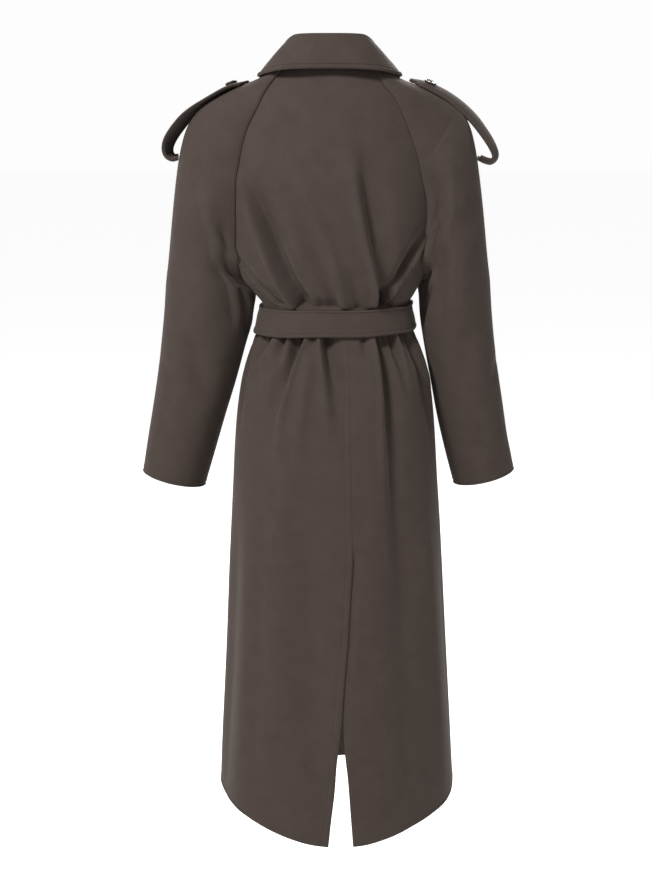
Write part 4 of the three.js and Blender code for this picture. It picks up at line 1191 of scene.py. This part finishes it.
def neck_line():
    """The neck edge from the left front round the back to the right front."""
    seam, edge_z = LEFT_SHOULDER[0]["front_z"], LEFT_SHOULDER[0]["front_z"] + 6
    end = front_turn(reach_at(edge_z), edge_z)
    share = np.linspace(0, 1, 6)[:-1]
    left = cloth(mix(end, LEFT_SHOULDER[0]["front_turn"], share), mix(edge_z, seam, share))
    right = cloth(-mix(end, LEFT_SHOULDER[0]["front_turn"], share), mix(edge_z, seam, share))
    back = np.linspace(0, 1, 40)[1:-1]
    rise = 4 * back * (1 - back) * (LEFT_SHOULDER[0]["mid_z"] - LEFT_SHOULDER[0]["back_z"])
    turn = mix(LEFT_SHOULDER[0]["back_turn"], -RIGHT_SHOULDER[0]["back_turn"], back)
    middle = cloth(turn, LEFT_SHOULDER[0]["back_z"] + rise)
    return np.concatenate([left, left_neck[::-1], middle, right_neck, right[::-1]])


collar_stand(neck_line())
collar_fall()
shoulder_strap("epaulette_left", LEFT_STRAP)
shoulder_strap("epaulette_right", RIGHT_STRAP)
strap_button("epaulette_button_left", LEFT_STRAP)
strap_button("epaulette_button_right", RIGHT_STRAP)
belt()
belt_knot()
belt_end("belt_end_left", LEFT_END)
belt_end("belt_end_right", RIGHT_END)
for piece, runs in stitch_runs.items():
    make_stitches("stitches_" + piece, runs, thread)


# Studio

CAMERA_PLACE = (5.6, 2400, -80)
CAMERA_PITCH = math.radians(12.118)
LENS, SENSOR = 61.64, 36.0
FLOOR_HEIGHT = -1.62
WALLS = (0.98, 0.98, 0.98)
CEILING = (0.32, 0.32, 0.32)


def studio_floor():
    bm = bmesh.new()
    bmesh.ops.create_circle(bm, cap_ends=True, segments=64, radius=40)
    bmesh.ops.translate(bm, verts=bm.verts, vec=(0, 0, FLOOR_HEIGHT))
    mesh = bpy.data.meshes.new("floor")
    bm.to_mesh(mesh)
    bm.free()
    obj = collection_link(bpy.data.objects.new("studio_floor", mesh))
    shader = Shader("pale floor")
    mesh.materials.append(shader.finish({
        "Base Color": (0.85, 0.85, 0.85, 1), "Roughness": 0.8, "Specular IOR Level": 0.1,
        "Emission Color": (1, 1, 1, 1), "Emission Strength": 0.55}))


def soft_light(name, place, aim, size, watts):
    data = bpy.data.lights.new(name, "AREA")
    data.shape = "RECTANGLE"
    data.size, data.size_y = size
    data.energy = watts
    obj = collection_link(bpy.data.objects.new(name, data))
    place, aim = Vector(place), Vector(aim)
    obj.location = place
    obj.rotation_euler = (aim - place).to_track_quat("-Z", "Y").to_euler()


def studio():
    studio_floor()
    world = bpy.data.worlds.new("studio air")
    bpy.context.scene.world = world
    world.use_nodes = True
    nodes, links = world.node_tree.nodes, world.node_tree.links
    place = nodes.new("ShaderNodeTexCoord")
    split = nodes.new("ShaderNodeSeparateXYZ")
    ramp = nodes.new("ShaderNodeValToRGB")
    links.new(place.outputs["Generated"], split.inputs[0])
    links.new(split.outputs["Z"], ramp.inputs[0])
    links.new(ramp.outputs["Color"], nodes["Background"].inputs["Color"])
    walls, ceiling = ramp.color_ramp.elements
    walls.position, walls.color = 0.12, (*WALLS, 1)
    ceiling.position, ceiling.color = 0.75, (*CEILING, 1)
    soft_light("key", (1.5, 2.2, 2.1), (0, 0, -0.3), (0.7, 0.9), 185)
    soft_light("front_key", (-0.5, -2.9, 1.6), (0, 0, -0.4), (0.8, 1.1), 110)


def camera():
    data = bpy.data.cameras.new("camera")
    data.lens = LENS
    data.sensor_width = SENSOR
    data.sensor_fit = "AUTO"
    data.clip_end = 200
    obj = collection_link(bpy.data.objects.new("camera", data))
    obj.location = Vector(CAMERA_PLACE) * MM
    back = Vector((0, math.cos(CAMERA_PITCH), math.sin(CAMERA_PITCH)))
    up = Vector((0, -math.sin(CAMERA_PITCH), math.cos(CAMERA_PITCH)))
    right = up.cross(back)
    obj.rotation_euler = Matrix((right, up, back)).transposed().to_euler()
    bpy.context.scene.camera = obj


bpy.context.scene.view_settings.view_transform = "Standard"
studio()
camera()
